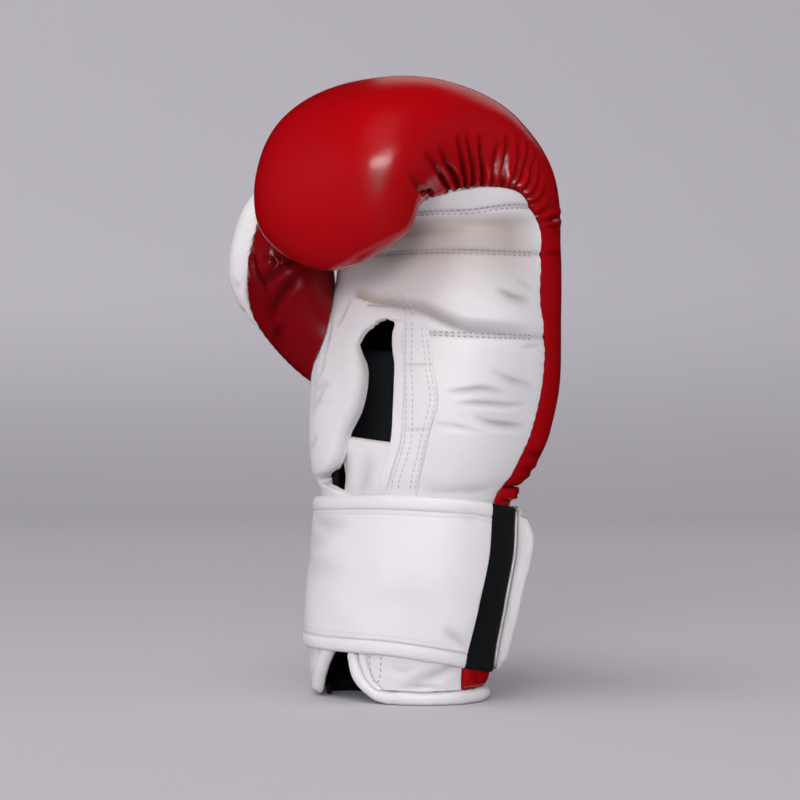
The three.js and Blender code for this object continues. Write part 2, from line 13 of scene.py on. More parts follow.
import bmesh
import bpy
import numpy as np
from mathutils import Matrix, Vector


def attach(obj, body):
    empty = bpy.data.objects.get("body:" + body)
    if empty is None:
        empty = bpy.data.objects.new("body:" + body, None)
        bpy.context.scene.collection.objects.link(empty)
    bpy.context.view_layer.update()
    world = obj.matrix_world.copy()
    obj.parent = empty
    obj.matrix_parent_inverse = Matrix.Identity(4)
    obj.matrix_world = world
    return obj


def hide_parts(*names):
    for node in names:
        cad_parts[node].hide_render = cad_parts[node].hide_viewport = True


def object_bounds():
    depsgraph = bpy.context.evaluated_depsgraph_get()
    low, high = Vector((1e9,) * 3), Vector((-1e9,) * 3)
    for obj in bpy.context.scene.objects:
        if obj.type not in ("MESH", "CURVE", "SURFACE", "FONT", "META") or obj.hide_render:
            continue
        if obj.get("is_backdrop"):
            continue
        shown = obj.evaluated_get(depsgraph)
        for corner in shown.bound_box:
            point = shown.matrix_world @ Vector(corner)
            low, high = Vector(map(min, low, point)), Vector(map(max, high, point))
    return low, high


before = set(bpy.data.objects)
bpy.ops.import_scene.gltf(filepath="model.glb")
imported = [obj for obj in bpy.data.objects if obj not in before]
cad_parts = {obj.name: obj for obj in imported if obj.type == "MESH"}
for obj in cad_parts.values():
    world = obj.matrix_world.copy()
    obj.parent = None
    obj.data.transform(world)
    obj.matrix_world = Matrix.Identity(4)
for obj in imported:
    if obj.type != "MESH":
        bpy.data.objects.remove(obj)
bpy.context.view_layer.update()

# %% [markdown]
# ## Camera
# The photograph was taken level with the middle of the glove, from the side between the palm and the
# little finger, with a long lens, so upright edges stay upright. The glove isn't quite in the middle of
# the picture. The camera could be turned for that, but then those edges would lean, so it moves aside.

# %% Camera at the photograph's angle
AZIMUTH = math.radians(45)
DISTANCE = 1.15
EYE_HEIGHT = 0.140
ASIDE = 0.0114
LENS = 108.7

right = np.array([math.cos(AZIMUTH), math.sin(AZIMUTH), 0.0])
toward_camera = np.array([math.sin(AZIMUTH), -math.cos(AZIMUTH), 0.0])

camera_data = bpy.data.cameras.new("photo_camera")
camera_data.sensor_width = 36
camera_data.lens = LENS
camera = bpy.data.objects.new("photo_camera", camera_data)
bpy.context.scene.collection.objects.link(camera)
camera.location = toward_camera * DISTANCE + right * ASIDE + np.array([0, 0, EYE_HEIGHT])
camera.rotation_euler = (math.radians(90), 0, AZIMUTH)
bpy.context.scene.camera = camera
print("camera at", [round(v, 3) for v in camera.location])

# %% [markdown]
# ## Floor and light
# The glove stood on a sheet of pale grey paper. A flat plane would end in a horizon, so this sweep is a
# floor that curves up into a wall all round, and every view has the same plain ground. A studio lights
# its paper with lamps of its own. Here the paper glows faintly instead, which costs no lamp and throws
# no light patch on the floor.
#
# The photo shows one small highlight on the ball and soft, even light elsewhere. One lamp can't give
# both, so the work is split. An oval softbox above the camera shows in gloss alone, and the softboxes
# above, in front, left and right light colour alone. One behind the glove serves the other views.

# %% Colour and nodes
def linear(hex_colour):
    """An sRGB hex colour as the linear numbers that the shaders take."""
    values = [int(hex_colour[i:i + 2], 16) / 255 for i in (1, 3, 5)]
    bent = [v / 12.92 if v <= 0.04045 else ((v + 0.055) / 1.055) ** 2.4 for v in values]
    return (*bent, 1.0)


def add_node(tree, kind, inputs=None, **settings):
    """Adds a node with its settings. An input is a value, or another node's output, which is linked."""
    made = tree.nodes.new(kind)
    for name, value in settings.items():
        setattr(made, name, value)
    for socket, value in (inputs or {}).items():
        if isinstance(value, bpy.types.NodeSocket):
            tree.links.new(value, made.inputs[socket])
        else:
            made.inputs[socket].default_value = value
    return made


def empty_material(name):
    """A material with nothing but an output."""
    made = bpy.data.materials.new(name)
    made.use_nodes = True
    made.node_tree.nodes.clear()
    return made, made.node_tree


# %% Studio sweep
SWEEP_RADIUS = 2.6
SWEEP_CORNER = 0.9
SWEEP_HEIGHT = 2.4
SWEEP_SIDES = 96
CORNER_STEPS = 12
INNER_RINGS = (0.001, 0.4, 1.0)
WALL_GLOW = 0.26
WALL_FOOT = 0.32
FLOOR_GLOW = 0.08
FLOOR_GLOW_FROM, FLOOR_GLOW_TO = 0.3, 1.3
GLOW_LEFT, GLOW_RIGHT = 1.15, 0.65

matt, tree = empty_material("matt_studio_paper")
spot = add_node(tree, "ShaderNodeTexCoord").outputs["Object"]
# The glow is painted light: it rises away from the glove and up the wall, and is stronger on the camera's
# left than on its right
from_middle = add_node(tree, "ShaderNodeVectorMath", {0: spot}, operation="LENGTH").outputs["Value"]
outwards = add_node(tree, "ShaderNodeMapRange",
                    {"Value": from_middle, "From Min": FLOOR_GLOW_FROM, "From Max": FLOOR_GLOW_TO,
                     "To Min": 0.0, "To Max": FLOOR_GLOW}, interpolation_type="SMOOTHSTEP")
height = add_node(tree, "ShaderNodeSeparateXYZ", {"Vector": spot}).outputs["Z"]
up_wall = add_node(tree, "ShaderNodeMapRange",
                   {"Value": height, "From Min": 0.0, "From Max": WALL_FOOT,
                    "To Min": 0.0, "To Max": WALL_GLOW}, interpolation_type="SMOOTHSTEP")
lit = add_node(tree, "ShaderNodeMath", {0: outwards.outputs[0], 1: up_wall.outputs[0]}, operation="ADD")
paper = add_node(tree, "ShaderNodeBsdfDiffuse", {"Color": linear("#C6C3C7")})
aside = add_node(tree, "ShaderNodeVectorMath", {0: spot, 1: tuple(right)}, operation="DOT_PRODUCT")
dimmer = add_node(tree, "ShaderNodeMapRange",
                  {"Value": aside.outputs["Value"], "From Min": -1.0, "From Max": 1.0,
                   "To Min": GLOW_LEFT, "To Max": GLOW_RIGHT})
strength = add_node(tree, "ShaderNodeMath", {0: lit.outputs[0], 1: dimmer.outputs[0]}, operation="MULTIPLY")
glow = add_node(tree, "ShaderNodeEmission", {"Color": linear("#C9C6CD"), "Strength": strength.outputs[0]})
both = add_node(tree, "ShaderNodeAddShader", {0: paper.outputs[0], 1: glow.outputs[0]})
add_node(tree, "ShaderNodeOutputMaterial", {"Surface": both.outputs[0]})
# The faint glow is found by chance rays alone, so the softboxes get all the aimed ones
matt.cycles.emission_sampling = "NONE"

profile = [(ring, 0.0) for ring in (*INNER_RINGS, SWEEP_RADIUS - SWEEP_CORNER)]
for step in range(1, CORNER_STEPS + 1):
    turn = math.radians(90) * step / CORNER_STEPS
    profile.append((SWEEP_RADIUS - SWEEP_CORNER + SWEEP_CORNER * math.sin(turn),
                    SWEEP_CORNER - SWEEP_CORNER * math.cos(turn)))
profile.append((SWEEP_RADIUS, SWEEP_HEIGHT))
angles = np.linspace(0, 2 * np.pi, SWEEP_SIDES, endpoint=False)
points = [(r * math.cos(a), r * math.sin(a), z) for r, z in profile for a in angles]
faces = [(i * SWEEP_SIDES + j, i * SWEEP_SIDES + (j + 1) % SWEEP_SIDES,
          (i + 1) * SWEEP_SIDES + (j + 1) % SWEEP_SIDES, (i + 1) * SWEEP_SIDES + j)
         for i in range(len(profile) - 1) for j in range(SWEEP_SIDES)]
faces.append(tuple(range(SWEEP_SIDES)))
sweep_mesh = bpy.data.meshes.new("studio_sweep")
sweep_mesh.from_pydata(points, [], faces)
sweep_mesh.shade_smooth()
sweep_mesh.materials.append(matt)
sweep = bpy.data.objects.new("studio_sweep", sweep_mesh)
bpy.context.scene.collection.objects.link(sweep)
sweep.visible_glossy = False
sweep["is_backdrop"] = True
print("sweep of", len(faces), "faces")

# %% Lights
def softbox(name, place, target, size, watts):
    """A rectangular area light at a place, facing a target, with its width and height in metres."""
    light = bpy.data.lights.new(name, "AREA")
    light.shape = "RECTANGLE"
    light.size, light.size_y = size
    light.energy = watts
    lamp = bpy.data.objects.new(name, light)
    bpy.context.scene.collection.objects.link(lamp)
    lamp.location = place
    facing = Vector(target) - Vector(place)
    lamp.rotation_euler = facing.to_track_quat("-Z", "Y").to_euler()
    lamp.visible_camera = False
    return lamp


def studio(aside, towards, height):
    """A place given from the camera's side: metres to the right, towards the camera, and up."""
    return right * aside + toward_camera * towards + np.array([0, 0, height])


MIDDLE = (0, 0, 0.15)
HONEYCOMB_ANGLE = math.radians(40)
key = softbox("key_softbox", studio(-0.14, 1.38, 0.97), (0, 0, 0.25), (1.2, 0.34), 21)
key.data.shape = "ELLIPSE"
key.visible_diffuse = False
top_lamp = softbox("top_softbox", studio(-0.35, 0.7, 1.8), (0, 0, 0.12), (1.2, 1.1), 15)
front_lamp = softbox("front_softbox", studio(-0.3, 2.1, 0.55), (0, 0, 0.08), (1.1, 0.5), 1.45)
left_lamp = softbox("left_softbox", studio(-1.6, 0.1, 0.7), MIDDLE, (0.9, 1.1), 2.8)
right_lamp = softbox("right_softbox", studio(1.6, 0.1, 0.7), MIDDLE, (0.9, 1.1), 2.6)
for lamp in (top_lamp, front_lamp, left_lamp, right_lamp):
    lamp.visible_glossy = False
# The low front softbox has a honeycomb grid, so that it lights the glove and not the floor before it
front_lamp.data.spread = HONEYCOMB_ANGLE
softbox("back_softbox", studio(0.5, -1.5, 1.3), MIDDLE, (1.4, 0.9), 2.1)
print("lamps:", [lamp.name for lamp in bpy.data.lights])

# %% Room light
# The room behind the camera is dark, as in the photograph, so gloss shows the softboxes alone
ROOM_LIGHT = 0.34
world = bpy.data.worlds.new("studio_room")
world.use_nodes = True
room = world.node_tree
room_path = add_node(room, "ShaderNodeLightPath")
not_in_gloss = add_node(room, "ShaderNodeMath", {0: 1.0, 1: room_path.outputs["Is Glossy Ray"]},
                        operation="SUBTRACT")
room_light = add_node(room, "ShaderNodeMath", {0: not_in_gloss.outputs[0], 1: ROOM_LIGHT},
                      operation="MULTIPLY")
background = room.nodes["Background"]
background.inputs["Color"].default_value = linear("#D8D6DC")
room.links.new(room_light.outputs[0], background.inputs["Strength"])
bpy.context.scene.world = world
bpy.context.scene.view_settings.view_transform = "Standard"

# %% [markdown]
# ## The glove's form in two short tables
# The CAD solids are lofted through a table of sections. The stand-ins could be built on the solids'
# own faces, but those are as large as a fold. They use the same table instead, so they sit exactly
# where the solids sit, at a much finer pitch. Up to the hub, a line under the curled fingers,
# the sections are level. From there they turn round the hub, over the knuckles to the fingertips.
# A place on the glove is a path value, negative for millimetres below the hub and positive for degrees
# round it, and an angle round the section: 0 little finger's side, 90 back, -90 palm, 180 thumb side.
# The frame's origin lies under the middle of the glove's box, and ORIGIN is the tables' zero in it.

# %% Tables as smooth curves
def smooth_curve(keys, values):
    """A smooth curve through keyed values that never overshoots them."""
    keys = np.asarray(keys, float)
    values = np.asarray(values, float)
    rise = np.diff(values) / np.diff(keys)
    same_way = rise[:-1] * rise[1:] > 0
    total = np.where(same_way, rise[:-1] + rise[1:], 1.0)
    slopes = np.zeros(len(keys))
    slopes[1:-1] = np.where(same_way, 2 * rise[:-1] * rise[1:] / total, 0.0)

    def at(place):
        place = np.clip(np.asarray(place, float), keys[0], keys[-1])
        i = np.clip(np.searchsorted(keys, place, side="right") - 1, 0, len(keys) - 2)
        step = keys[i + 1] - keys[i]
        f = (place - keys[i]) / step
        start = (2 * f**3 - 3 * f**2 + 1) * values[i] + (f**3 - 2 * f**2 + f) * step * slopes[i]
        end = (3 * f**2 - 2 * f**3) * values[i + 1] + (f**3 - f**2) * step * slopes[i + 1]
        return start + end
    return at


def table(names, rows):
    """Columns of a table as curves over its first column."""
    data = np.array(rows, float)
    return {name: smooth_curve(data[:, 0], data[:, i]) for i, name in enumerate(names.split()) if i}


print("halfway from 0 to 1 a curve gives", float(smooth_curve((0, 1), (0, 1))(0.5)))

# %% Sections of the glove
ORIGIN = np.array([14.66, 11.88, -0.26])
HUB_Y = -34.0
HUB_Z = 217.0
CUFF_WALL = 3.4
CUFF_TOP = -130.0
# Each row is a path value, how far the section reaches to the palm, the back, the thumb's side and the
# little finger's side, and how square it is, from 2 for an oval
BODY_ROWS = [
    (-217, -6, 61, -50, 42, 2.1), (-202, -8, 62, -51.5, 42.5, 2.1), (-172, -6.5, 66, -52, 47, 2.1),
    (-142, -4, 70, -51, 50, 2.1), (-124, -3, 70, -50.5, 50, 2.1), (-110, -4, 79, -53, 57, 2.3),
    (-92, -3, 86, -55.5, 62, 2.5), (-67, -1, 91, -55, 63, 2.7), (-37, 3, 93, -52, 62, 2.6),
    (-14, 6, 92.5, -51, 62, 2.6), (0, 7, 91.5, -51, 62, 2.6), (20, 9, 93, -52, 62.5, 2.5),
    (45, 10.5, 86.5, -52, 62, 2.4), (70, 11, 77.5, -50, 60.5, 2.4), (90, 10.5, 72.5, -47, 59, 2.4),
    (115, 8.5, 66, -44, 57, 2.4), (140, 6, 58, -41, 55, 2.3), (165, 5, 50.5, -38, 53, 2.3),
    (182, 5, 47, -33, 50, 2.2), (196, 6.5, 43.5, -24, 43, 2.1), (206, 10, 39, -13, 33, 2),
    (213, 15, 33, -2, 22, 2), (217, 20, 27, 6, 14, 2),
]
# In the cuff the inside follows the outside. Further up it is narrower, because of the padding.
CUFF_ROWS = 5
INSIDE = [(p, palm + CUFF_WALL, back - CUFF_WALL, thumb + CUFF_WALL, little - CUFF_WALL, square)
          for p, palm, back, thumb, little, square in BODY_ROWS[:CUFF_ROWS]]
COLUMNS = "path palm back thumb little square"
BODY = table(COLUMNS, BODY_ROWS)
HOLLOW = table(COLUMNS, INSIDE + [
    (-97, 1, 60, -45, 50, 2.3), (-67, 3.4, 58, -44, 50, 2.4), (-32, 7.5, 53, -41, 49, 2.4),
    (0, 11, 48, -40, 48, 2.4), (45, 14.5, 43, -38, 46, 2.3), (90, 14.5, 36, -34, 44, 2.3),
    (130, 11.5, 29, -29, 40, 2.2), (150, 12, 24, -23, 35, 2), (160, 19, 21, -16, 30, 2),
    (196, 23, 24.5, -10, 28, 2), (217, 23, 24.2, 8, 12, 2),
])
# The two angles at which the red leather meets the white
SEAMS = table("path little thumb", [
    (-217, -8, 172), (-117, 4, 172), (-103, 5.5, 174), (-84, 10, 178), (-60, 13, 186), (-27, 7, 192),
    (0, 6, 194), (12, -2, 196), (25, -11, 200), (40, -26, 210), (60, -43, 224), (90, -56, 236),
    (140, -62, 242), (217, -64, 244),
])
print("the form has", len(BODY_ROWS), "sections from the cuff to the fingertips")

# %% Points on the form
def surface(shape, path, angle, depth=0.0):
    """Points of a tabled surface, in millimetres, moved outwards by a depth."""
    path, angle = np.broadcast_arrays(np.asarray(path, float), np.asarray(angle, float))
    half_width = (shape["little"](path) - shape["thumb"](path)) / 2 + depth
    half_depth = (shape["back"](path) - shape["palm"](path)) / 2 + depth
    square = shape["square"](path)
    c, s = np.cos(np.radians(angle)), np.sin(np.radians(angle))
    reach = (np.abs(c) ** square + np.abs(s) ** square) ** (-1 / square)
    x = (shape["little"](path) + shape["thumb"](path)) / 2 + half_width * reach * c
    out = (shape["back"](path) + shape["palm"](path)) / 2 + half_depth * reach * s
    turn = np.radians(np.maximum(path, 0))
    y = HUB_Y + out * np.cos(turn)
    z = HUB_Z + np.minimum(path, 0) + out * np.sin(turn)
    return np.stack([x, y, z], -1)


def skin(path, angle, depth=0.0):
    """The outside of the glove."""
    return surface(BODY, path, angle, depth)


PALM_SIDE = np.linspace(-172, -8, 165)


def palm_angle(path, x):
    """The angle at which the palm side reaches an X, for each path value."""
    rows = surface(BODY, np.asarray(path, float)[..., None], PALM_SIDE)[..., 0]
    x = np.broadcast_to(x, rows.shape[:-1])
    flat = [np.interp(v, row, PALM_SIDE) for v, row in zip(x.ravel(), rows.reshape(-1, len(PALM_SIDE)))]
    return np.array(flat).reshape(x.shape)


print("the back lies", round(float(skin(0.0, 90.0)[1] - HUB_Y), 1), "mm behind the hub")

# %% [markdown]
# ## Sheets of leather as grids
# Real leather is cut flat, stitched to its neighbours and pulled over foam. A cloth simulation would
# fold it too, but in places of its own, and gathers and folds have to run the way the real ones do. So
# each leather piece is a fine grid laid on the tabled form in code. The grid knows how far each point
# is from its seams. Folds then push the points in and out, and a painted shade value travels with
# them, so that the finish can paint shade into the valleys.

# %% Profiles of a fold
def steps(*spans):
    """Values over several spans of (start, end, count), without repeats."""
    values = [np.linspace(a, b, n, endpoint=False) for a, b, n in spans]
    return np.concatenate([*values, [spans[-1][1]]])


def hump(distance, middle, width):
    """A soft hump of height 1 round a middle distance."""
    return np.exp(-((distance - middle) / width) ** 2)


def fading(distance, width):
    """1 at an edge, fading with the distance from it."""
    return np.exp(-distance / width)


def ramp(value, zero_at, one_at):
    """A straight change from 0 to 1 between two values."""
    return np.clip((value - zero_at) / (one_at - zero_at), 0, 1)


def smooth_step(value):
    """A soft change from 0 to 1 as the value goes from 0 to 1."""
    return value**2 * (3 - 2 * value)


print("the profile of a fold 2 mm wide, each millimetre:", hump(np.arange(5.0), 0, 2).round(2))

# %% Distance from a line
def resample(line, count):
    """A line with evenly spaced points."""
    pitch = np.linalg.norm(np.diff(line, axis=0), axis=1)
    length = np.concatenate([[0], np.cumsum(pitch)])
    wanted = np.linspace(0, length[-1], count)
    return np.stack([np.interp(wanted, length, line[:, k]) for k in range(3)], -1)


def line_distance(points, line):
    """Each point's distance from a line, how far along it lies from 0 to 1, and on which side: the
    sign of the last value says which."""
    best = np.full(points.shape[:-1], 1e9)
    along = np.zeros(points.shape[:-1])
    hand = np.zeros(points.shape[:-1])
    spans = len(line) - 1
    for k in range(spans):
        a, ab = line[k], line[k + 1] - line[k]
        offset = points - a
        t = np.clip(offset @ ab / (ab @ ab), 0, 1)
        apart = offset - t[..., None] * ab
        distance = np.linalg.norm(apart, axis=-1)
        closer = distance < best
        best = np.where(closer, distance, best)
        along = np.where(closer, (k + t) / spans, along)
        turned = ab[0] * apart[..., 2] - ab[2] * apart[..., 0]
        hand = np.where(closer, turned, hand)
    return best, along, hand


straight = np.array([[0.0, 0, 0], [10, 0, 0]])
print("a point 3 mm beside the middle of a line:", line_distance(np.array([[5.0, 3, 0]]), straight)[:2])

# %% Grid of a leather piece
FOLD_POINTS = 14


class Leather:
    """A grid of points over a form, in millimetres."""

    def __init__(self, form, paths, shares, start, end):
        self.form = form
        self.paths = np.asarray(paths, float)
        self.path = self.paths[:, None] + 0 * np.asarray(shares)
        self.start = np.broadcast_to(start(self.paths), self.paths.shape)
        self.end = np.broadcast_to(end(self.paths), self.paths.shape)
        self.shares = np.asarray(shares, float)
        self.angle = self.start[:, None] + (self.end - self.start)[:, None] * self.shares
        self.settle()

    def settle(self):
        """Finds the points, their outward directions and their distances from the edges."""
        self.points = self.form(self.path, self.angle, 0.0)
        guide = self.form(self.path, self.angle, 1.0) - self.points
        across = np.gradient(self.points, axis=1)
        along = np.gradient(self.points, axis=0)
        normal = np.cross(across, along)
        normal /= np.linalg.norm(normal, axis=-1, keepdims=True) + 1e-9
        normal *= np.sign(np.sum(normal * guide, -1, keepdims=True))
        self.outward = normal
        pitch = np.linalg.norm(np.diff(self.points, axis=1), axis=-1)
        self.from_start = np.pad(np.cumsum(pitch, axis=1), ((0, 0), (1, 0)))
        self.from_end = self.from_start[:, -1:] - self.from_start
        pitch = np.linalg.norm(np.diff(self.points, axis=0), axis=-1)
        self.from_bottom = np.pad(np.cumsum(pitch, axis=0), ((1, 0), (0, 0)))
        self.from_top = self.from_bottom[-1:] - self.from_bottom
        self.base = self.points.copy()
        self.painted_shade = np.zeros(self.path.shape)

    def push(self, height, painted_shade=None):
        """Moves the points outwards by a height in millimetres."""
        self.points = self.points + self.outward * np.asarray(height)[..., None]
        if painted_shade is not None:
            self.painted_shade = np.maximum(self.painted_shade, painted_shade)

    def fold(self, places, width, depth, ridge=0.0, side=0):
        """A valley along a line of (path, angle) places, with a ridge beside it, in millimetres. side,
        1 or -1, keeps the ridge on one side and makes the other slope steep."""
        line = resample(self.form(*np.array(places, float).T, 0.0), FOLD_POINTS)
        away, along, hand = line_distance(self.base, line)
        fade = np.clip(np.sin(np.pi * np.clip(along, 0.0, 1.0)), 0, 1) ** 0.85
        reach = np.where(hand * side > 0, 1.25 * width, max(0.5 * width, 0.9)) if side else width
        valley = fade * np.exp(-(away / reach) ** 1.5)
        swell = fade * hump(away, 2.1 * width, 1.3 * width)
        if side:
            swell = swell * (hand * side > 0)
        self.push(ridge * swell - depth * valley, 0.8 * valley * min(1.0, depth / 1.2))

    def soften(self, inner, width, sides, meet=0.5):
        """Rounds a slab's edges: near them the outside and the inside draw together over a width."""
        for side in sides:
            near = np.clip(1 - getattr(self, "from_" + side) / width, 0, 1)
            draw = (1 - np.sqrt(1 - 0.97 * near**2))[..., None]
            between = inner - self.points
            self.points = self.points + between * meet * draw
            inner = inner - between * (1 - meet) * draw
            # The rounded edge is painted a little darker, as shade
            self.painted_shade = np.maximum(self.painted_shade, 0.1 * near**4)
        return inner

    def front(self, x, z):
        """Points and outward directions on the palm's side, found by their X and Z."""
        facing = self.outward @ toward_camera > 0.05
        rows, columns = [], []
        for want_x, want_z in zip(np.ravel(x), np.ravel(z)):
            away = (self.base[..., 0] - want_x) ** 2 + (self.base[..., 2] - want_z) ** 2
            i, j = np.unravel_index(np.argmin(np.where(facing, away, 1e9)), away.shape)
            i, j = np.clip(i, 1, len(self.paths) - 2), np.clip(j, 1, len(self.shares) - 2)
            along = (self.base[i + 1, j] - self.base[i - 1, j])[[0, 2]] / 2
            across = (self.base[i, j + 1] - self.base[i, j - 1])[[0, 2]] / 2
            miss = np.array([want_x, want_z]) - self.base[i, j][[0, 2]]
            move = np.linalg.solve(np.stack([along, across], 1) + 1e-6 * np.eye(2), miss)
            rows.append(i + np.clip(move[0], -1, 1))
            columns.append(j + np.clip(move[1], -1, 1))
        return self.between(np.array(rows), np.array(columns))

    def place(self, path, angle):
        """Points and outward directions of the pushed surface at path and angle values."""
        path, angle = np.broadcast_arrays(np.asarray(path, float), np.asarray(angle, float))
        row = np.interp(path, self.paths, np.arange(len(self.paths)))
        column = []
        for want, r in zip(angle.ravel(), row.ravel()):
            i = min(int(r), len(self.paths) - 2)
            angles = self.angle[i] * (1 - r + i) + self.angle[i + 1] * (r - i)
            column.append(np.interp(want, angles, np.arange(len(self.shares))))
        return self.between(row, np.reshape(column, row.shape))

    def between(self, row, column):
        """Points and outward directions at fractional rows and columns."""
        i = np.clip(row.astype(int), 0, len(self.paths) - 2)
        j = np.clip(column.astype(int), 0, len(self.shares) - 2)
        f, g = (row - i)[..., None], (column - j)[..., None]

        def mix(values):
            low = values[i, j] * (1 - g) + values[i, j + 1] * g
            high = values[i + 1, j] * (1 - g) + values[i + 1, j + 1] * g
            return low * (1 - f) + high * f
        return mix(self.points), mix(self.outward)


# %% Mesh from two grids
def close_grids(outer, inner, keep=None):
    """Points and faces of a closed shell between an outer grid and an inner one, which may be coarser.
    keep says which cells are there, for two grids of one size."""
    rows, columns = outer.shape[:2]
    ids = np.arange(rows * columns).reshape(rows, columns)
    back = rows * columns + np.arange(inner.shape[0] * inner.shape[1]).reshape(inner.shape[:2])
    points = np.concatenate([outer.reshape(-1, 3), inner.reshape(-1, 3)])

    def cells(grid):
        return np.stack([grid[:-1, :-1], grid[:-1, 1:], grid[1:, 1:], grid[1:, :-1]], -1)
    if inner.shape != outer.shape:
        faces = [cells(ids).reshape(-1, 4).tolist(), cells(back)[..., ::-1].reshape(-1, 4).tolist()]
        for pick in ((0, slice(None)), (-1, slice(None)), (slice(None), 0), (slice(None), -1)):
            faces.append(ribbon(ids[pick], back[pick]))
        return points, [f for group in faces for f in group]
    if keep is None:
        keep = np.ones((rows - 1, columns - 1), bool)
    faces = cells(ids)[keep].tolist() + cells(back)[keep][..., ::-1].tolist()
    around = np.pad(keep, 1)
    sides = (((-1, 0), (0, 0), (0, 1)), ((1, 0), (1, 1), (1, 0)),
             ((0, -1), (1, 0), (0, 0)), ((0, 1), (0, 1), (1, 1)))
    for (dr, dc), first, second in sides:
        neighbour = around[1 + dr:rows + dr, 1 + dc:columns + dc]
        r, c = np.nonzero(keep & ~neighbour)
        a = ids[r + first[0], c + first[1]]
        b = ids[r + second[0], c + second[1]]
        faces += np.stack([b, a, a + rows * columns, b + rows * columns], -1).tolist()
    return points, faces


def ribbon(fine, coarse):
    """Triangles between two edges of different pitch."""
    ratio = (len(fine) - 1) / (len(coarse) - 1)
    faces = []
    j = 0
    for i in range(len(fine) - 1):
        faces.append([int(fine[i]), int(fine[i + 1]), int(coarse[j])])
        if j + 1 < len(coarse) and i + 1 >= (j + 0.5) * ratio:
            faces.append([int(fine[i + 1]), int(coarse[j + 1]), int(coarse[j])])
            j += 1
    return faces


# %% Piece from a mesh
SHARP_ANGLE = math.radians(62)


def make_piece(name, points, faces, material, replaces=(), painted_shade=None, wear_and_shade=None):
    """An object of the glove, with its place in its mesh, riding on the glove's one body."""
    mesh = bpy.data.meshes.new(name)
    mesh.from_pydata(((np.asarray(points) + ORIGIN) / 1000).tolist(), [], faces)
    for label, values in (("painted_shade", painted_shade), ("wear_and_shade", wear_and_shade)):
        marked = np.zeros(len(points), np.float32)
        if values is not None:
            marked[:values.size] = np.clip(values.ravel(), 0, 1)
        mesh.attributes.new(label, "FLOAT", "POINT").data.foreach_set("value", marked)
    work = bmesh.new()
    work.from_mesh(mesh)
    loose = [v for v in work.verts if not v.link_faces]
    bmesh.ops.delete(work, geom=loose, context="VERTS")
    bmesh.ops.recalc_face_normals(work, faces=work.faces)
    if work.calc_volume(signed=True) < 0:
        bmesh.ops.reverse_faces(work, faces=work.faces)
    work.to_mesh(mesh)
    work.free()
    mesh.shade_smooth()
    mesh.set_sharp_from_angle(angle=SHARP_ANGLE)
    mesh.materials.append(material)
    piece = bpy.data.objects.new(name, mesh)
    bpy.context.scene.collection.objects.link(piece)
    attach(piece, "root")
    if replaces:
        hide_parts(*replaces)
    triangles = sum(len(p.vertices) - 2 for p in mesh.polygons)
    print(f"{name}: {triangles} triangles")
    return piece


# %% [markdown]
# ## Finishes
# Both leathers are coated hides: split leather with a film of polyurethane. The coat leaves a fine
# pebbled grain about half a millimetre across. The red one is polished and shows one small highlight,
# the white one is satin, so light spreads softly over it. Valleys of folds are painted darker: painted
# shade, as little light reaches them, and some dust that settles there.
#
# A picture of leather could be wrapped round the glove, but it would slide or stretch at the folds. So
# the grain is a pattern in space, and the painted shade and wear_and_shade values that the grids carry
# say where the colour deepens: painted shade in the valleys, in the hollow under the fist and on the
# thumb's red face, and a worn stain along the palm's main fold.

# %% Coated leather
# The grain has its real size. Two coarser patterns lie under it: the foam's crumple, and a mottling.
GRAIN_MM = 0.55
GRAIN_DEPTH = 0.00012
CRUMPLE_MM = 5
CRUMPLE_DEPTH = 0.0004
CRUMPLE_STRENGTH = 0.25
MOTTLE_MM = 28
LEATHER_IOR = 1.5


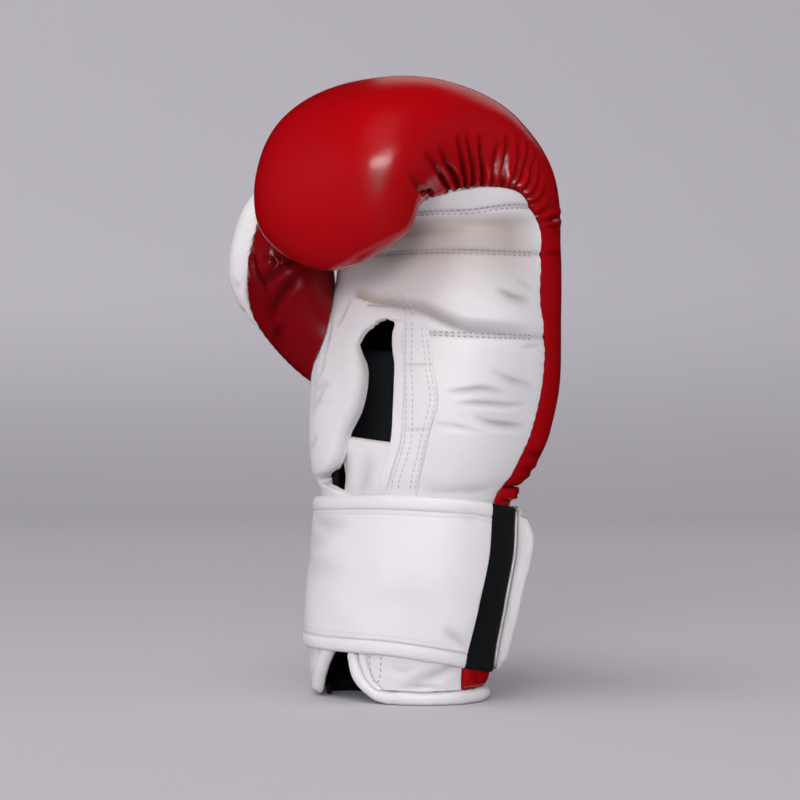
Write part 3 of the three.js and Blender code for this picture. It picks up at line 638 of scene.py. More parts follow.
def leather(name, face, valley, mottled, stain_and_shade, roughness, grain, gloss):
    """Coated grain leather: face, painted valley shade, mottled, and stain and painted shade colours."""
    made, tree = empty_material(name)
    place = add_node(tree, "ShaderNodeTexCoord").outputs["Object"]
    painted_shade = add_node(tree, "ShaderNodeAttribute", attribute_name="painted_shade").outputs["Fac"]
    wear_and_shade = add_node(tree, "ShaderNodeAttribute", attribute_name="wear_and_shade").outputs["Fac"]
    patches = add_node(tree, "ShaderNodeTexNoise",
                       {"Vector": place, "Scale": 1000 / MOTTLE_MM, "Detail": 3.0})
    spread = add_node(tree, "ShaderNodeMapRange",
                      {"Value": patches.outputs["Fac"], "From Min": 0.3, "From Max": 0.7},
                      interpolation_type="SMOOTHSTEP")
    tint = add_node(tree, "ShaderNodeMix", {"Factor": spread.outputs[0], "A": linear(face),
                                            "B": linear(mottled)}, data_type="RGBA")
    # The stain colour is a real stain along the palm's main fold, and painted shade elsewhere
    stained_and_shaded = add_node(tree, "ShaderNodeMix", {"Factor": wear_and_shade, "A": tint.outputs["Result"],
                                            "B": linear(stain_and_shade)}, data_type="RGBA")
    # Valleys take the valley colour, as painted shade
    colour = add_node(tree, "ShaderNodeMix", {"Factor": painted_shade, "A": stained_and_shaded.outputs["Result"],
                                              "B": linear(valley)}, data_type="RGBA")
    pebbles = add_node(tree, "ShaderNodeTexVoronoi", {"Vector": place, "Scale": 1000 / GRAIN_MM})
    crumple = add_node(tree, "ShaderNodeTexNoise",
                       {"Vector": place, "Scale": 1000 / CRUMPLE_MM, "Detail": 2.0})
    soft = add_node(tree, "ShaderNodeBump",
                    {"Height": crumple.outputs["Fac"], "Strength": CRUMPLE_STRENGTH,
                     "Distance": CRUMPLE_DEPTH})
    bump = add_node(tree, "ShaderNodeBump", {"Height": pebbles.outputs["Distance"], "Strength": grain,
                                             "Distance": GRAIN_DEPTH, "Normal": soft.outputs[0]})
    rough = add_node(tree, "ShaderNodeMapRange",
                     {"Value": patches.outputs["Fac"], "From Min": 0.2, "From Max": 0.8,
                      "To Min": roughness - 0.02, "To Max": roughness + 0.03},
                     interpolation_type="SMOOTHSTEP")
    shader = add_node(tree, "ShaderNodeBsdfPrincipled",
                      {"Base Color": colour.outputs["Result"], "Roughness": rough.outputs[0],
                       "IOR": LEATHER_IOR, "Specular IOR Level": gloss, "Normal": bump.outputs[0]})
    add_node(tree, "ShaderNodeOutputMaterial", {"Surface": shader.outputs[0]})
    return made


# The polished red coat fills most of its grain, so its highlight is smooth. Its roughness stays below
# 0.274 all over: where a map crosses that value, the denoiser draws the map's outline on the gloss.
# Its stain colour is painted shade alone, for the thumb's red face in the fist's shade
red_leather = leather("red_coated_leather", face="#AC0009", valley="#260002", mottled="#A70008",
                      stain_and_shade="#6E0009", roughness=0.243, grain=0.05, gloss=0.3)
# The satin white coat shows its grain. Handling has left a warm grey stain along the palm's main
# fold, and the same colour is painted as shade in the hollow under the fist
white_leather = leather("white_coated_leather", face="#E9E6E7", valley="#A59EA1", mottled="#E4E1E3",
                        stain_and_shade="#AC9D8F", roughness=0.5, grain=0.35, gloss=0.4)


# %% Elastic, lining and thread
FIBRE_HEIGHT = 0.0003


def cloth(name, face, shade, pitch_mm, relief):
    """A black woven or knitted cloth. relief is how strongly its loops stand out."""
    made, tree = empty_material(name)
    place = add_node(tree, "ShaderNodeTexCoord").outputs["Object"]
    weave = add_node(tree, "ShaderNodeTexNoise",
                     {"Vector": place, "Scale": 1000 / pitch_mm, "Detail": 2.0})
    woven = add_node(tree, "ShaderNodeMix", {"Factor": weave.outputs["Fac"], "A": linear(face),
                                             "B": linear(shade)}, data_type="RGBA")
    # Where the painted shade value is high, the cloth is painted near black, as shade
    painted_shade = add_node(tree, "ShaderNodeAttribute", attribute_name="painted_shade").outputs["Fac"]
    colour = add_node(tree, "ShaderNodeMix", {"Factor": painted_shade, "A": woven.outputs["Result"],
                                              "B": linear("#050506")}, data_type="RGBA")
    bump = add_node(tree, "ShaderNodeBump", {"Height": weave.outputs["Fac"], "Strength": relief,
                                             "Distance": FIBRE_HEIGHT})
    shader = add_node(tree, "ShaderNodeBsdfPrincipled",
                      {"Base Color": colour.outputs["Result"], "Roughness": 0.85,
                       "Specular IOR Level": 0.2, "Sheen Weight": 0.02, "Normal": bump.outputs[0]})
    add_node(tree, "ShaderNodeOutputMaterial", {"Surface": shader.outputs[0]})
    return made


# Knitted elastic is matt and nearly black. The lining is a napped polyester, a little greyer. Their
# loops are half a millimetre wide, drawn twice to three times as coarse so that they show.
ribbed_elastic = cloth("black_knitted_elastic", "#080A0D", "#101419", 0.9, 0.4)
black_lining = cloth("black_lining_cloth", "#24272A", "#31353A", 1.4, 0.35)


def thread(name, colour):
    """Bonded polyester sewing thread, with a slight gloss."""
    made, tree = empty_material(name)
    shader = add_node(tree, "ShaderNodeBsdfPrincipled",
                      {"Base Color": linear(colour), "Roughness": 0.55})
    add_node(tree, "ShaderNodeOutputMaterial", {"Surface": shader.outputs[0]})
    return made


# The thread is white. The grey of this one is painted shade, for its stitch holes and channels
shaded_thread = thread("shaded_white_sewing_thread", "#A7A1A5")
pale_thread = thread("white_sewing_thread", "#CBC5C8")

# %% [markdown]
# ## Stitches
# The real seams are lockstitched, nine or ten to the inch. One stitch is a short thick thread that dips
# into the leather at both ends. A dashed line in the colour would be quicker, but it would lie flat
# and catch no light. So each stitch is a small capsule with few faces, laid along its seam.

# %% Stitch rows
STITCH_PITCH = 2.7
STITCH_LENGTH = 1.9
THREAD_RADIUS = 0.3
FINE_THREAD_RADIUS = 0.24
STITCH_AIM = 0.8
STITCH_SIDES = 6
STITCH_RINGS = (
    # share of the length, share of the radius, height over the leather
    (-0.5, 0.35, -0.3), (-0.3, 1.0, 0.12), (0.0, 1.0, 0.22), (0.3, 1.0, 0.12), (0.5, 0.35, -0.3),
)


def along_row(values, reach, place):
    """The values of a row of points at a place along it."""
    return np.array([np.interp(place, reach, values[:, k]) for k in range(3)])


def stitch_rows(name, rows, material, radius=THREAD_RADIUS):
    """One piece of many stitches. Each row is a line of points with its outward directions."""
    all_points, all_faces = [], []
    for line, normals in rows:
        length = np.linalg.norm(np.diff(line, axis=0), axis=1)
        reach = np.concatenate([[0], np.cumsum(length)])
        count = int(reach[-1] / STITCH_PITCH)
        for middle in (np.arange(count) + 0.5) * reach[-1] / max(count, 1):
            p = along_row(line, reach, middle)
            ahead = along_row(line, reach, middle + STITCH_AIM)
            behind = along_row(line, reach, middle - STITCH_AIM)
            n = along_row(normals, reach, middle)
            along = (ahead - behind) / (np.linalg.norm(ahead - behind) + 1e-9)
            side = np.cross(along, n)
            side /= np.linalg.norm(side) + 1e-9
            n = np.cross(side, along)
            first = len(all_points)
            for share, wide, lift in STITCH_RINGS:
                centre = p + along * share * STITCH_LENGTH + n * lift
                for k in range(STITCH_SIDES):
                    turn = 2 * math.pi * k / STITCH_SIDES
                    outward = side * math.cos(turn) + n * math.sin(turn)
                    all_points.append(centre + radius * wide * outward)
            for i in range(len(STITCH_RINGS) - 1):
                ring = first + i * STITCH_SIDES
                for k in range(STITCH_SIDES):
                    a, b = ring + k, ring + (k + 1) % STITCH_SIDES
                    all_faces.append([a, b, b + STITCH_SIDES, a + STITCH_SIDES])
            all_faces.append([first + k for k in reversed(range(STITCH_SIDES))])
            last = first + (len(STITCH_RINGS) - 1) * STITCH_SIDES
            all_faces.append([last + k for k in range(STITCH_SIDES)])
    return make_piece(name, all_points, all_faces, material)


# %% [markdown]
# ## Fist: the red leather over the knuckles
# The red hide is cut larger than the white palm that it is sewn to, so it gathers along the curve
# under the fingers. Each gather is a sharp valley that starts at the stitches and fades within three
# centimetres. They fan out from the curl, so they are laid one by one as lines over the form. A texture
# or a modifier could not follow them, and a cloth simulation would put them in other places.

# %% Fist
SEAM_GAP = 0.3
SMALLEST_RADIUS = 14
FIST_BOTTOM = -117.0
CURL_END = 217


def seam_gap(path):
    """The angle of half a seam's width, at each path value."""
    width = BODY["little"](path) - BODY["thumb"](path)
    return np.degrees(SEAM_GAP / np.maximum(width / 2, SMALLEST_RADIUS))


# The grid is finest where the gathers are: along the curl, and near both seams
fist_paths = steps((FIST_BOTTOM, -14, 84), (-14, 126, 300), (126, CURL_END, 76))
fist_shares = steps((0, 0.13, 44), (0.13, 0.87, 78), (0.87, 1, 44))
fist = Leather(skin, fist_paths, fist_shares,
               lambda p: SEAMS["little"](p) + seam_gap(p), lambda p: SEAMS["thumb"](p) - seam_gap(p))

GATHERS = [
    # depth, ridge, places as (path, angle) from the seam
    (3.6, 0.9, [(84, -53.5), (95, -46), (112, -38), (130.8, -27.7), (137.5, -14.2), (139.1, -3.9),
                (138.6, 8)]),
    (3.2, 0.9, [(62, -45), (66.9, -43.4), (79.6, -40.7), (94, -33.5), (106, -22.5), (114.1, -10.5),
                (119.5, 3)]),
    (3.4, 0.8, [(56.5, -40.6), (65.6, -38.6), (74.2, -34.9), (84.7, -29.5), (93.3, -23.5), (99.8, -15),
                (105.5, -2)]),
    (3.2, 0.8, [(54, -38.8), (61, -35.3), (67.9, -31.1), (75.3, -25.2), (79.9, -19.6), (84.4, -11.6),
                (89, 1)]),
    (3.0, 0.7, [(50, -35.4), (56.2, -32.1), (60.5, -28.7), (65.9, -23.6), (71.3, -18.2), (76.6, -11.1),
                (82, 2)]),
    (3.0, 0.7, [(45.5, -31.2), (49.1, -28.1), (53, -25), (58.1, -20.5), (63, -15.6), (67.4, -8.8),
                (72, 2)]),
    (2.0, 0.6, [(41, -27.1), (43.5, -23.8), (46.9, -20.7), (51.9, -14.1), (55.2, -6.2), (58, 3)]),
    (2.6, 0.9, [(35, -21), (38.1, -18.2), (44, -11.8), (47.8, -5.6), (50.5, 1.5), (54, 12)]),
    (1.6, 1.2, [(31, -17), (34.7, -12.3), (37.7, -3.6), (40.6, 3.4), (43, 7.7), (46, 16)]),
    (1.5, 1.2, [(27.5, -13.4), (30.2, -12.5), (34, -2.2), (37.2, 7.1), (39.3, 13.9), (40.5, 20)]),
    (1.5, 1.2, [(22, -9.2), (24.6, -9), (28.9, 2.2), (33.4, 9.7), (36, 16)]),
    (1.3, 1.0, [(17.8, -6), (19.7, -7.4), (21.1, -2), (24.7, 7.2), (28, 15)]),
    (1.2, 0.9, [(13.8, -3.2), (15.7, -4.8), (16.8, 0.6), (18.2, 7.8), (20, 15)]),
    (1.4, 0.7, [(9.5, 0), (11, 6), (12.5, 14)]), (1.1, 0.5, [(38, -24), (42, -18), (47, -11)]),
    (1.2, 0.5, [(48, -33), (54, -27), (58, -21)]), (1.2, 0.5, [(59, -42.5), (68, -38), (80, -33)]),
]
SMALL_GATHER_PATHS = range(66, 206, 6)
SMALL_LEAN = 7
SMALL_REACH = 9
SMALL_RIDGE = 0.4
GATHER_POINTS = 18
rng = np.random.default_rng(11)


def gather(line, depth, ridge):
    """One gather: a valley from the seam, narrow and deep there, that widens and fades. A low ridge
    stands on both sides of it, where the spare leather goes."""
    away, along, _ = line_distance(fist.base, resample(line, GATHER_POINTS))
    width = 0.75 + 0.9 * along
    fade = np.clip(1 - along, 0, 1) ** 0.6
    valley = fade * np.exp(-(away / width) ** 1.4)
    swell = hump(away, 2.4 * width, 1.1 * width)
    swell = np.sin(np.pi * np.clip(along, 0, 1)) ** 0.5 * swell
    fist.push(0.55 * ridge * swell - depth * valley, np.clip(1.1 * valley * depth / 3.0, 0, 1))


# The thumb's side is out of the picture, so it gets the same gathers, each moved a little at random
for side, hand in (("little", 1), ("thumb", -1)):
    for depth, ridge, places in GATHERS:
        path, angle = np.array(places, float).T
        reach = angle - SEAMS["little"](path)
        jog = 0 if side == "little" else rng.uniform(-1.5, 1.5)
        gather(skin(path + jog, SEAMS[side](path + jog) + reach * hand), depth, ridge)
    for path in SMALL_GATHER_PATHS:
        jog = rng.uniform(-2, 2)
        turn = SMALL_REACH * rng.uniform(0.6, 1.4) * hand
        depth = rng.uniform(0.5, 1.0)
        share = np.linspace(0, 1, 8)
        gather(skin(path + jog + SMALL_LEAN * share, SEAMS[side](path + jog) + turn * share), depth,
               SMALL_RIDGE)
print(2 * (len(GATHERS) + len(SMALL_GATHER_PATHS)), "gathers laid")

# %% Puffs, folds and the ball of the fist
FIST_FOLDS = [
    # width, depth, ridge, places as (path, angle)
    (1.2, 0.9, 0.7, [(6.2, 2), (6.6, 14), (7.4, 28), (7.2, 46)]),
    (1.0, 0.6, 0.4, [(3.0, 6), (3.6, 16), (3.4, 28)]),
    (1.3, 0.7, 0.4, [(-9, 8), (-8.4, 22), (-8, 36)]),
    (1.4, 0.8, 0.6, [(-100, 8), (-102, 18), (-101, 34)]),
    (1.3, 1.0, 0.7, [(-108, 6), (-109, 18), (-110, 40), (-109, 60)]),
]
DOME_PLACE = (143.5, 32.4)
DOME_HEIGHT = 2.2
DOME_RADIUS = 22
INSIDE_PITCH = 6


def lay_folds(piece, folds):
    """Lays a list of folds on a leather piece."""
    for width, depth, ridge, places in folds:
        piece.fold(places, width, depth, ridge)


for away in (fist.from_start, fist.from_end):
    puffed = ramp(fist.path, -2, 10) * ramp(fist.path, 150, 120)
    fist.push(1.6 * puffed * hump(away, 6, 7) - 1.0 * fading(away, 0.8),
              0.6 * fading(away, 0.6))
fist.push(0.15 * hump(fist.from_bottom, 1.6, 1.6) - 0.4 * fading(fist.from_bottom, 0.4),
          0.5 * fading(fist.from_bottom, 0.5))
lay_folds(fist, FIST_FOLDS)
# The middle of the ball stands out a little, as its foam is stacked there
from_dome = np.linalg.norm(fist.base - skin(*DOME_PLACE), axis=-1)
fist.push(DOME_HEIGHT * hump(from_dome, 0, DOME_RADIUS))
# The unseen inside has a coarser grid
fist_inside = surface(HOLLOW, fist.path[::INSIDE_PITCH], fist.angle[::INSIDE_PITCH])[:, ::INSIDE_PITCH]
points, faces = close_grids(fist.points, fist_inside)
make_piece("fist_leather", points, faces, red_leather, ["knuckle_shell"], fist.painted_shade)

# %% [markdown]
# ## Palm: the white leather with its slit
# The palm is one hide, sewn down along cross channels so that it folds where the fingers bend. Beside
# the thumb it has a long slit that lets the hand breathe. The slit could be cut out with a boolean, but
# that leaves ragged edges. Here its two edges are grid columns, and the cells between them are dropped.

# %% Palm
# The slit's edges, as the X of its left and right edge at each height
SLIT_TOP = 178.2
SLIT = table("z left right", [
    (83, -8, 3), (94, -9, 7), (97.5, -15, 9.5), (99.5, -28, 11.5), (101, -36, 12.5), (102, -36.5, 13),
    (103.5, -33, 13.6), (106.5, -24.3, 14.8), (113.2, -17.4, 17.4), (119.4, -14.8, 19.8),
    (125.2, -12.4, 20.6), (130.2, -8.6, 20.8), (136, -5, 20.8), (143, -3, 20.8), (149, -2.3, 20.6),
    (153, -2.5, 20.4), (157, -3.7, 20), (161, -5.7, 18.8), (163.8, -7, 18),
    (166.6, -7.9, 17.4), (168, -6.9, 17.2), (171, -4.9, 16.9), (173.5, -1.7, 17.4), (174.3, 0.6, 17.6),
    (175.3, 0.9, 17.6), (176.0, 3.6, 17.4), (176.8, 3.7, 16.2), (177.6, 7.8, 12.6), (178.2, 8.6, 12),
    (186, 8.6, 12),
])
LEFT_SHARE, RIGHT_SHARE = 0.36, 0.40

palm_paths = steps((CUFF_TOP, -46, 134), (-46, -36, 28), (-36, 0, 56), (0, 45, 40), (45, 90, 56),
                   (90, CURL_END, 22))
palm_shares = steps((0, LEFT_SHARE, 50), (LEFT_SHARE, RIGHT_SHARE, 4), (RIGHT_SHARE, 1, 84))


class PalmLeather(Leather):
    """The palm's grid, with columns that follow both edges of the slit."""

    def settle(self):
        """Moves the columns, so that two of them follow the slit's edges, and finds the points."""
        level = np.minimum(self.paths, 0)
        left = palm_angle(level, SLIT["left"](level + HUB_Z))
        right_edge = palm_angle(level, SLIT["right"](level + HUB_Z))
        keys = np.stack([self.start, left, right_edge, self.end], -1)
        marks = [0, LEFT_SHARE, RIGHT_SHARE, 1]
        self.angle = np.array([np.interp(self.shares, marks, row) for row in keys])
        super().settle()


palm = PalmLeather(skin, palm_paths, palm_shares, lambda p: SEAMS["thumb"](p) - 360 + seam_gap(p),
                   lambda p: SEAMS["little"](p) - seam_gap(p))
table_x, table_z = palm.base[..., 0], palm.base[..., 2]
left_column = int(np.argmin(np.abs(palm_shares - LEFT_SHARE)))
right_column = int(np.argmin(np.abs(palm_shares - RIGHT_SHARE)))
in_slit = palm.path < SLIT_TOP - HUB_Z
to_left_edge = np.abs(palm.from_start - palm.from_start[:, left_column:left_column + 1])
to_right_edge = np.abs(palm.from_start - palm.from_start[:, right_column:right_column + 1])
print("the palm's grid has", palm.path.shape, "points")

# %% Roll of padding between the slit and the thumb
PALM_ROLL_HEIGHT = 3.2

on_left = palm.shares[None, :] <= LEFT_SHARE + 1e-6
roll_width = palm.from_start[:, left_column:left_column + 1]
share_over = ramp(palm.from_start, 0, np.maximum(roll_width, 1))
low_fade = ramp(palm.path, -119, -112)
high_fade = 1 - ramp(palm.path, -58, -34)
roll_shape = np.sin(np.pi * share_over**0.8) ** 0.7
palm.push(PALM_ROLL_HEIGHT * on_left * low_fade * high_fade * roll_shape)
# Both edges of the slit are turned in, the left one softly round its roll and the right one sharply
crisp = np.clip((170 - table_z) / 12, 0.25, 1)
edge_in = on_left * in_slit * crisp * ramp(to_left_edge, 5.5, 0) ** 2
palm.push(-3.4 * edge_in, 0.25 * edge_in)
edge_in = ~on_left * in_slit * ramp(to_right_edge, 1.2, 0) ** 2
palm.push(-0.8 * edge_in)

# %% Hollow of the palm
# The palm sinks in under the gathers, as the curled fingers pull it
SINK_DEPTH = 4.4

hub_row = int(np.argmin(np.abs(palm_paths)))
over_hub = palm.from_bottom - palm.from_bottom[hub_row]
sink = smooth_step(ramp(over_hub, -40, 4)) * smooth_step(ramp(over_hub, 13, 4))
sink *= ramp(palm.from_end, 0, 16) ** 0.8 * ramp(palm.from_start, 0, 25)
palm.push(-SINK_DEPTH * sink)
print("the palm sinks in by up to", round(SINK_DEPTH * float(sink.max()), 1), "mm")

# %% Seams and sewn channels of the palm
# Along both side seams the leather puckers, about every 5 mm and not evenly
ripple = (0.5 - 0.5 * np.cos(2 * np.pi * palm.from_bottom / 5.1 + 2.2 * np.sin(palm.from_bottom / 7)))
ripple *= 0.45 + 0.55 * np.sin(palm.from_bottom / 11 + 0.7) ** 2
for away in (palm.from_start, palm.from_end):
    palm.push(-0.35 * fading(away, 0.8) - 0.3 * ripple * fading(away, 2.6),
              0.14 * ripple * fading(away, 2.0))
CHANNEL_END_X = 62
CHANNELS = (
    # height at the thumb's side, height at the seam, X where it starts to change, depth
    (170.8, 169.2, 30.0, 0.6), (208.6, 207.6, 30.0, 1.0), (226.2, 229.4, 48.0, 1.1),
)


def channel_height(channel, x):
    """How high a sewn channel runs at an X."""
    first, last, turn_x, _ = channel
    return first + (last - first) * np.clip((x - turn_x) / (CHANNEL_END_X - turn_x), 0, 1) ** 1.5


for channel in CHANNELS:
    apart = palm.points[..., 2] - channel_height(channel, palm.points[..., 0])
    # The lowest channel starts beside the slit
    front = ramp(table_x, 22, 30) if channel[0] < SLIT_TOP else 1.0
    near = front * np.exp(-np.abs(apart / 1.25) ** 1.5)
    above = front * hump(apart, 6.5, 5.0)
    below = front * hump(apart, -6, 4.5)
    palm.push(0.9 * above + 0.4 * below - channel[3] * near, 0.5 * near)

# %% Folds of the palm
MAIN_FOLD = 2
PALM_FOLDS = [
    # width, depth, ridge, side, places as (path, angle)
    (2.4, 1.2, 0.9, -1, [(-25.5, -28), (-29, -16.2), (-31.3, -1.5)]),
    (1.2, 0.5, 0.4, -1, [(-21, -15), (-23, -7), (-26, 1)]),
    (3.0, 2.9, 1.7, 1, [(-32.4, -97), (-32.7, -91.2), (-33.7, -77), (-36.2, -62.8), (-39.2, -56.5),
                        (-43.5, -46.8), (-45.7, -39.2), (-46.5, -24.2), (-47.2, -15), (-49.7, 3.2)]),
    (2.0, 0.9, 0.7, -1, [(-62.9, -29), (-67.4, -13.8), (-70.6, 3.5)]),
    (1.9, 1.1, 0.8, -1, [(-73.4, -49), (-72.4, -41.8), (-71.1, -32.8), (-71.9, -26.5), (-73.6, -19)]),
    (1.7, 1.0, 0.8, -1, [(-78.1, -44), (-77.9, -35), (-78.1, -25.8), (-78.9, -14.2), (-78.1, -1.5)]),
    (2.1, 1.2, 0.8, -1, [(-84.5, -35), (-86.8, -24.2), (-87.8, -12.2), (-88.3, 1.2)]),
    (1.7, 0.6, 0.5, -1, [(-86.6, -55), (-88.8, -40.8), (-91.6, -28)]),
    (2.2, 0.6, 0.4, 1, [(-118.2, -52), (-119, -47.5), (-118.6, -20.5), (-116.5, -4)]),
    (1.3, 0.5, 0.4, 1, [(-53, -10), (-52, 1), (-51, 8)]),
    (1.0, 1.2, 0.7, 1, [(-28, -110.5), (-31, -111.5), (-37, -113.8), (-42.5, -116)]),
    (0.9, 0.8, 0.5, 1, [(-44, -119.5), (-47.2, -120), (-54.2, -121), (-60.9, -119.8), (-67.9, -123.8)]),
    (2.0, 0.4, 0.4, 1, [(-82, -139), (-80.9, -135), (-77.4, -111.2)]),
    (1.8, 0.4, 0.4, 1, [(-71.8, -128), (-71.4, -123), (-69.6, -110.8)]),
    (1.3, 0.9, 0.7, 1, [(-30, -128), (-42, -123), (-56, -121), (-66, -122)]),
    (1.2, 0.7, 0.4, -1, [(-58, -129), (-72, -126), (-86, -128)]),
    (1.5, 0.6, 0.6, 1, [(-68, -116), (-76, -121), (-82, -130)]),
    (1.5, 0.6, 0.5, -1, [(-92, -122), (-98, -128), (-102, -137)]),
    (1.1, 0.5, 0.3, 1, [(-31, -133), (-42, -130), (-54, -129), (-84, -131)]),
    (1.8, 0.9, 0.7, 1, [(-108, -112), (-112, -120), (-114, -134)]),
]
for width, depth, ridge, side, places in PALM_FOLDS:
    palm.fold(places, width, depth, ridge, side)
print(len(PALM_FOLDS), "folds laid on the palm")

# The main fold, where the palm bends, is deep, and its bottom is painted dark as shade
main_fold = resample(skin(*np.array(PALM_FOLDS[MAIN_FOLD][-1], float).T), 30)
on_fold, along_fold, _ = line_distance(palm.base, main_fold)
palm.painted_shade = np.maximum(palm.painted_shade, hump(on_fold, 0, 0.6) * np.clip(1.2 - along_fold, 0, 1))

# %% Slit, worn places and the finished palm
PALM_THICK = 2.6
STAIN = [(-29, -104), (-32, -91), (-33.5, -77), (-36, -63), (-42, -50)]

keep = np.ones((len(palm_paths) - 1, len(palm_shares) - 1), bool)
cell_path = (palm_paths[:-1] + palm_paths[1:]) / 2
cell_share = (palm_shares[:-1] + palm_shares[1:]) / 2
gone = (cell_path[:, None] < SLIT_TOP - HUB_Z) & (cell_share > LEFT_SHARE) & (cell_share < RIGHT_SHARE)
keep[gone] = False
points, faces = close_grids(palm.points, palm.points - palm.outward * PALM_THICK, keep)
# Handling has left a warm stain over the main fold. The hollow under the fist is painted with the
# same colour, as shade, since little light reaches it
stain_line = resample(skin(*np.array(STAIN, float).T), 12)
far, along, hand = line_distance(palm.base, stain_line)
wear_and_shade = 0.9 * hump(far, 0, 4.2) * np.clip(1.4 - along, 0, 1) * (hand > -1.5) + 0.75 * sink
make_piece("palm_leather", points, faces, white_leather, ["palm_panel"], palm.painted_shade,
           wear_and_shade)

# %% [markdown]
# ## Thumb
# The thumb is a padded finger of its own, red towards the fist and white outside, curved beside the
# fingers. Its root runs into the hand, where the real pieces are sewn in. A tube along a curve would
# give its bend, but not its web and its two seams. So it is a second tabled form, and a boolean with
# the hand's own form trims its root, so that the thumb meets the palm all round.

# %% Thumb
THUMB = table("at x y z radius web inner seam", [
    (0, -28, -4, 155, 20, 0, 13, -138), (1, -48, -12, 167, 19.5, 5, 13, -138),
    (2, -64.5, -22, 184, 18, 14, 12, -122), (3, -74.5, -29, 204, 18, 15, 11, -70),
    (4, -73, -26, 225, 16.5, 9, 9, -66), (5, -69, -22, 239, 12.5, 0, 2, -66),
    (6, -65.5, -20, 247, 6.5, 0, 0.6, -66), (7, -64, -19, 250, 1.2, 0, 0.6, -66),
])
THUMB_BACK_SEAM = 120.0


def thumb_middle(at):
    """Points of the thumb's middle line, from 0 at the root to 7 at the tip."""
    return np.stack([THUMB[name](at) for name in "xyz"], -1)


def thumb_point(at, angle, radius):
    """A point round the thumb's middle line. 0 degrees faces +X, 90 faces +Y."""
    along = thumb_middle(at + 0.25) - thumb_middle(at - 0.25)
    along /= np.linalg.norm(along, axis=-1, keepdims=True)
    u = np.array([1.0, 0, 0]) - along * along[..., :1]
    u /= np.linalg.norm(u, axis=-1, keepdims=True)
    v = np.cross(along, u)
    turn = np.radians(angle)
    return thumb_middle(at) + u * (radius * np.cos(turn))[..., None] + v * (radius * np.sin(turn))[..., None]


def thumb_form(at, angle, depth):
    """The outside of the thumb, with the web that joins it to the hand."""
    at, angle = np.broadcast_arrays(np.asarray(at, float), np.asarray(angle, float))
    web = THUMB["web"](at) * np.maximum(0, np.cos(np.radians(angle))) ** 2
    return thumb_point(at, angle, THUMB["radius"](at) + web + depth)


# %% Trim of the thumb's root
TRIM_GAP = 0.4


def hand_cutter():
    """The body of the hand, a little larger, to trim the thumb's root. It allows for the palm's roll."""
    paths = np.append(np.linspace(-100, 0, 21), [12, 24, 36])
    angles = np.linspace(-180, 180, 96, endpoint=False)
    relief = PALM_ROLL_HEIGHT * ((angles > -172) & (angles < -104))
    rows = skin(paths[:, None], angles[None, :], TRIM_GAP)
    thick = skin(paths[:, None], angles[None, :], 1.0) - skin(paths[:, None], angles[None, :])
    fade = 1 - ramp(paths, -55, -31)
    rows = rows + thick * (relief[None, :] * fade[:, None])[..., None]
    m, n = rows.shape[:2]
    ids = np.arange(m * n).reshape(m, n)
    faces = [[int(ids[i, j]), int(ids[i, (j + 1) % n]), int(ids[i + 1, (j + 1) % n]), int(ids[i + 1, j])]
             for i in range(m - 1) for j in range(n)]
    faces += [list(map(int, ids[0][::-1])), list(map(int, ids[-1]))]
    mesh = bpy.data.meshes.new("hand_cutter")
    mesh.from_pydata(((rows.reshape(-1, 3) + ORIGIN) / 1000).tolist(), [], faces)
    work = bmesh.new()
    work.from_mesh(mesh)
    bmesh.ops.recalc_face_normals(work, faces=work.faces)
    work.to_mesh(mesh)
    work.free()
    cutter = bpy.data.objects.new("hand_cutter", mesh)
    bpy.context.scene.collection.objects.link(cutter)
    return cutter


def trim(piece, cutter):
    """Cuts the cutter's volume out of a piece."""
    bpy.ops.object.select_all(action="DESELECT")
    bpy.context.view_layer.objects.active = piece
    piece.select_set(True)
    cut = piece.modifiers.new("trim", "BOOLEAN")
    cut.object = cutter
    cut.operation = "DIFFERENCE"
    cut.solver = "EXACT"
    bpy.ops.object.modifier_apply(modifier="trim")
    print(piece.name, "keeps", len(piece.data.polygons), "faces after the trim")
    piece.select_set(False)


# %% Two faces of the thumb
THUMB_COLUMNS = 90
THUMB_GAP = 1.0


def thumb_leather(start, end):
    """One face of the thumb, between two seam angles."""
    return Leather(thumb_form, steps((0, 1.2, 14), (1.2, 6.2, 110), (6.2, 7, 14)),
                   np.linspace(0, 1, THUMB_COLUMNS), start, end)


thumb_red = thumb_leather(lambda t: THUMB["seam"](t) + THUMB_GAP,
                          lambda t: 0 * t + THUMB_BACK_SEAM - THUMB_GAP)
thumb_white = thumb_leather(lambda t: 0 * t + THUMB_BACK_SEAM + THUMB_GAP,
                            lambda t: THUMB["seam"](t) + (360 - THUMB_GAP))
# The red face is fuller beside the palm
fuller = hump(thumb_red.path, 2.4, 0.7) * hump(thumb_red.angle, 28, 42)
thumb_red.push(4.6 * fuller)
for piece in (thumb_red, thumb_white):
    for away in (piece.from_start, piece.from_end):
        piece.push(-1.2 * fading(away, 1.1), 0.5 * fading(away, 1.0))
        beat = piece.from_bottom / 4.4 + 0.5 * np.sin(piece.from_bottom / 7)
        ripple = fading(away, 4.5) * (0.5 - 0.5 * np.cos(2 * np.pi * beat))
        piece.push(-0.6 * ripple, 0.25 * ripple)

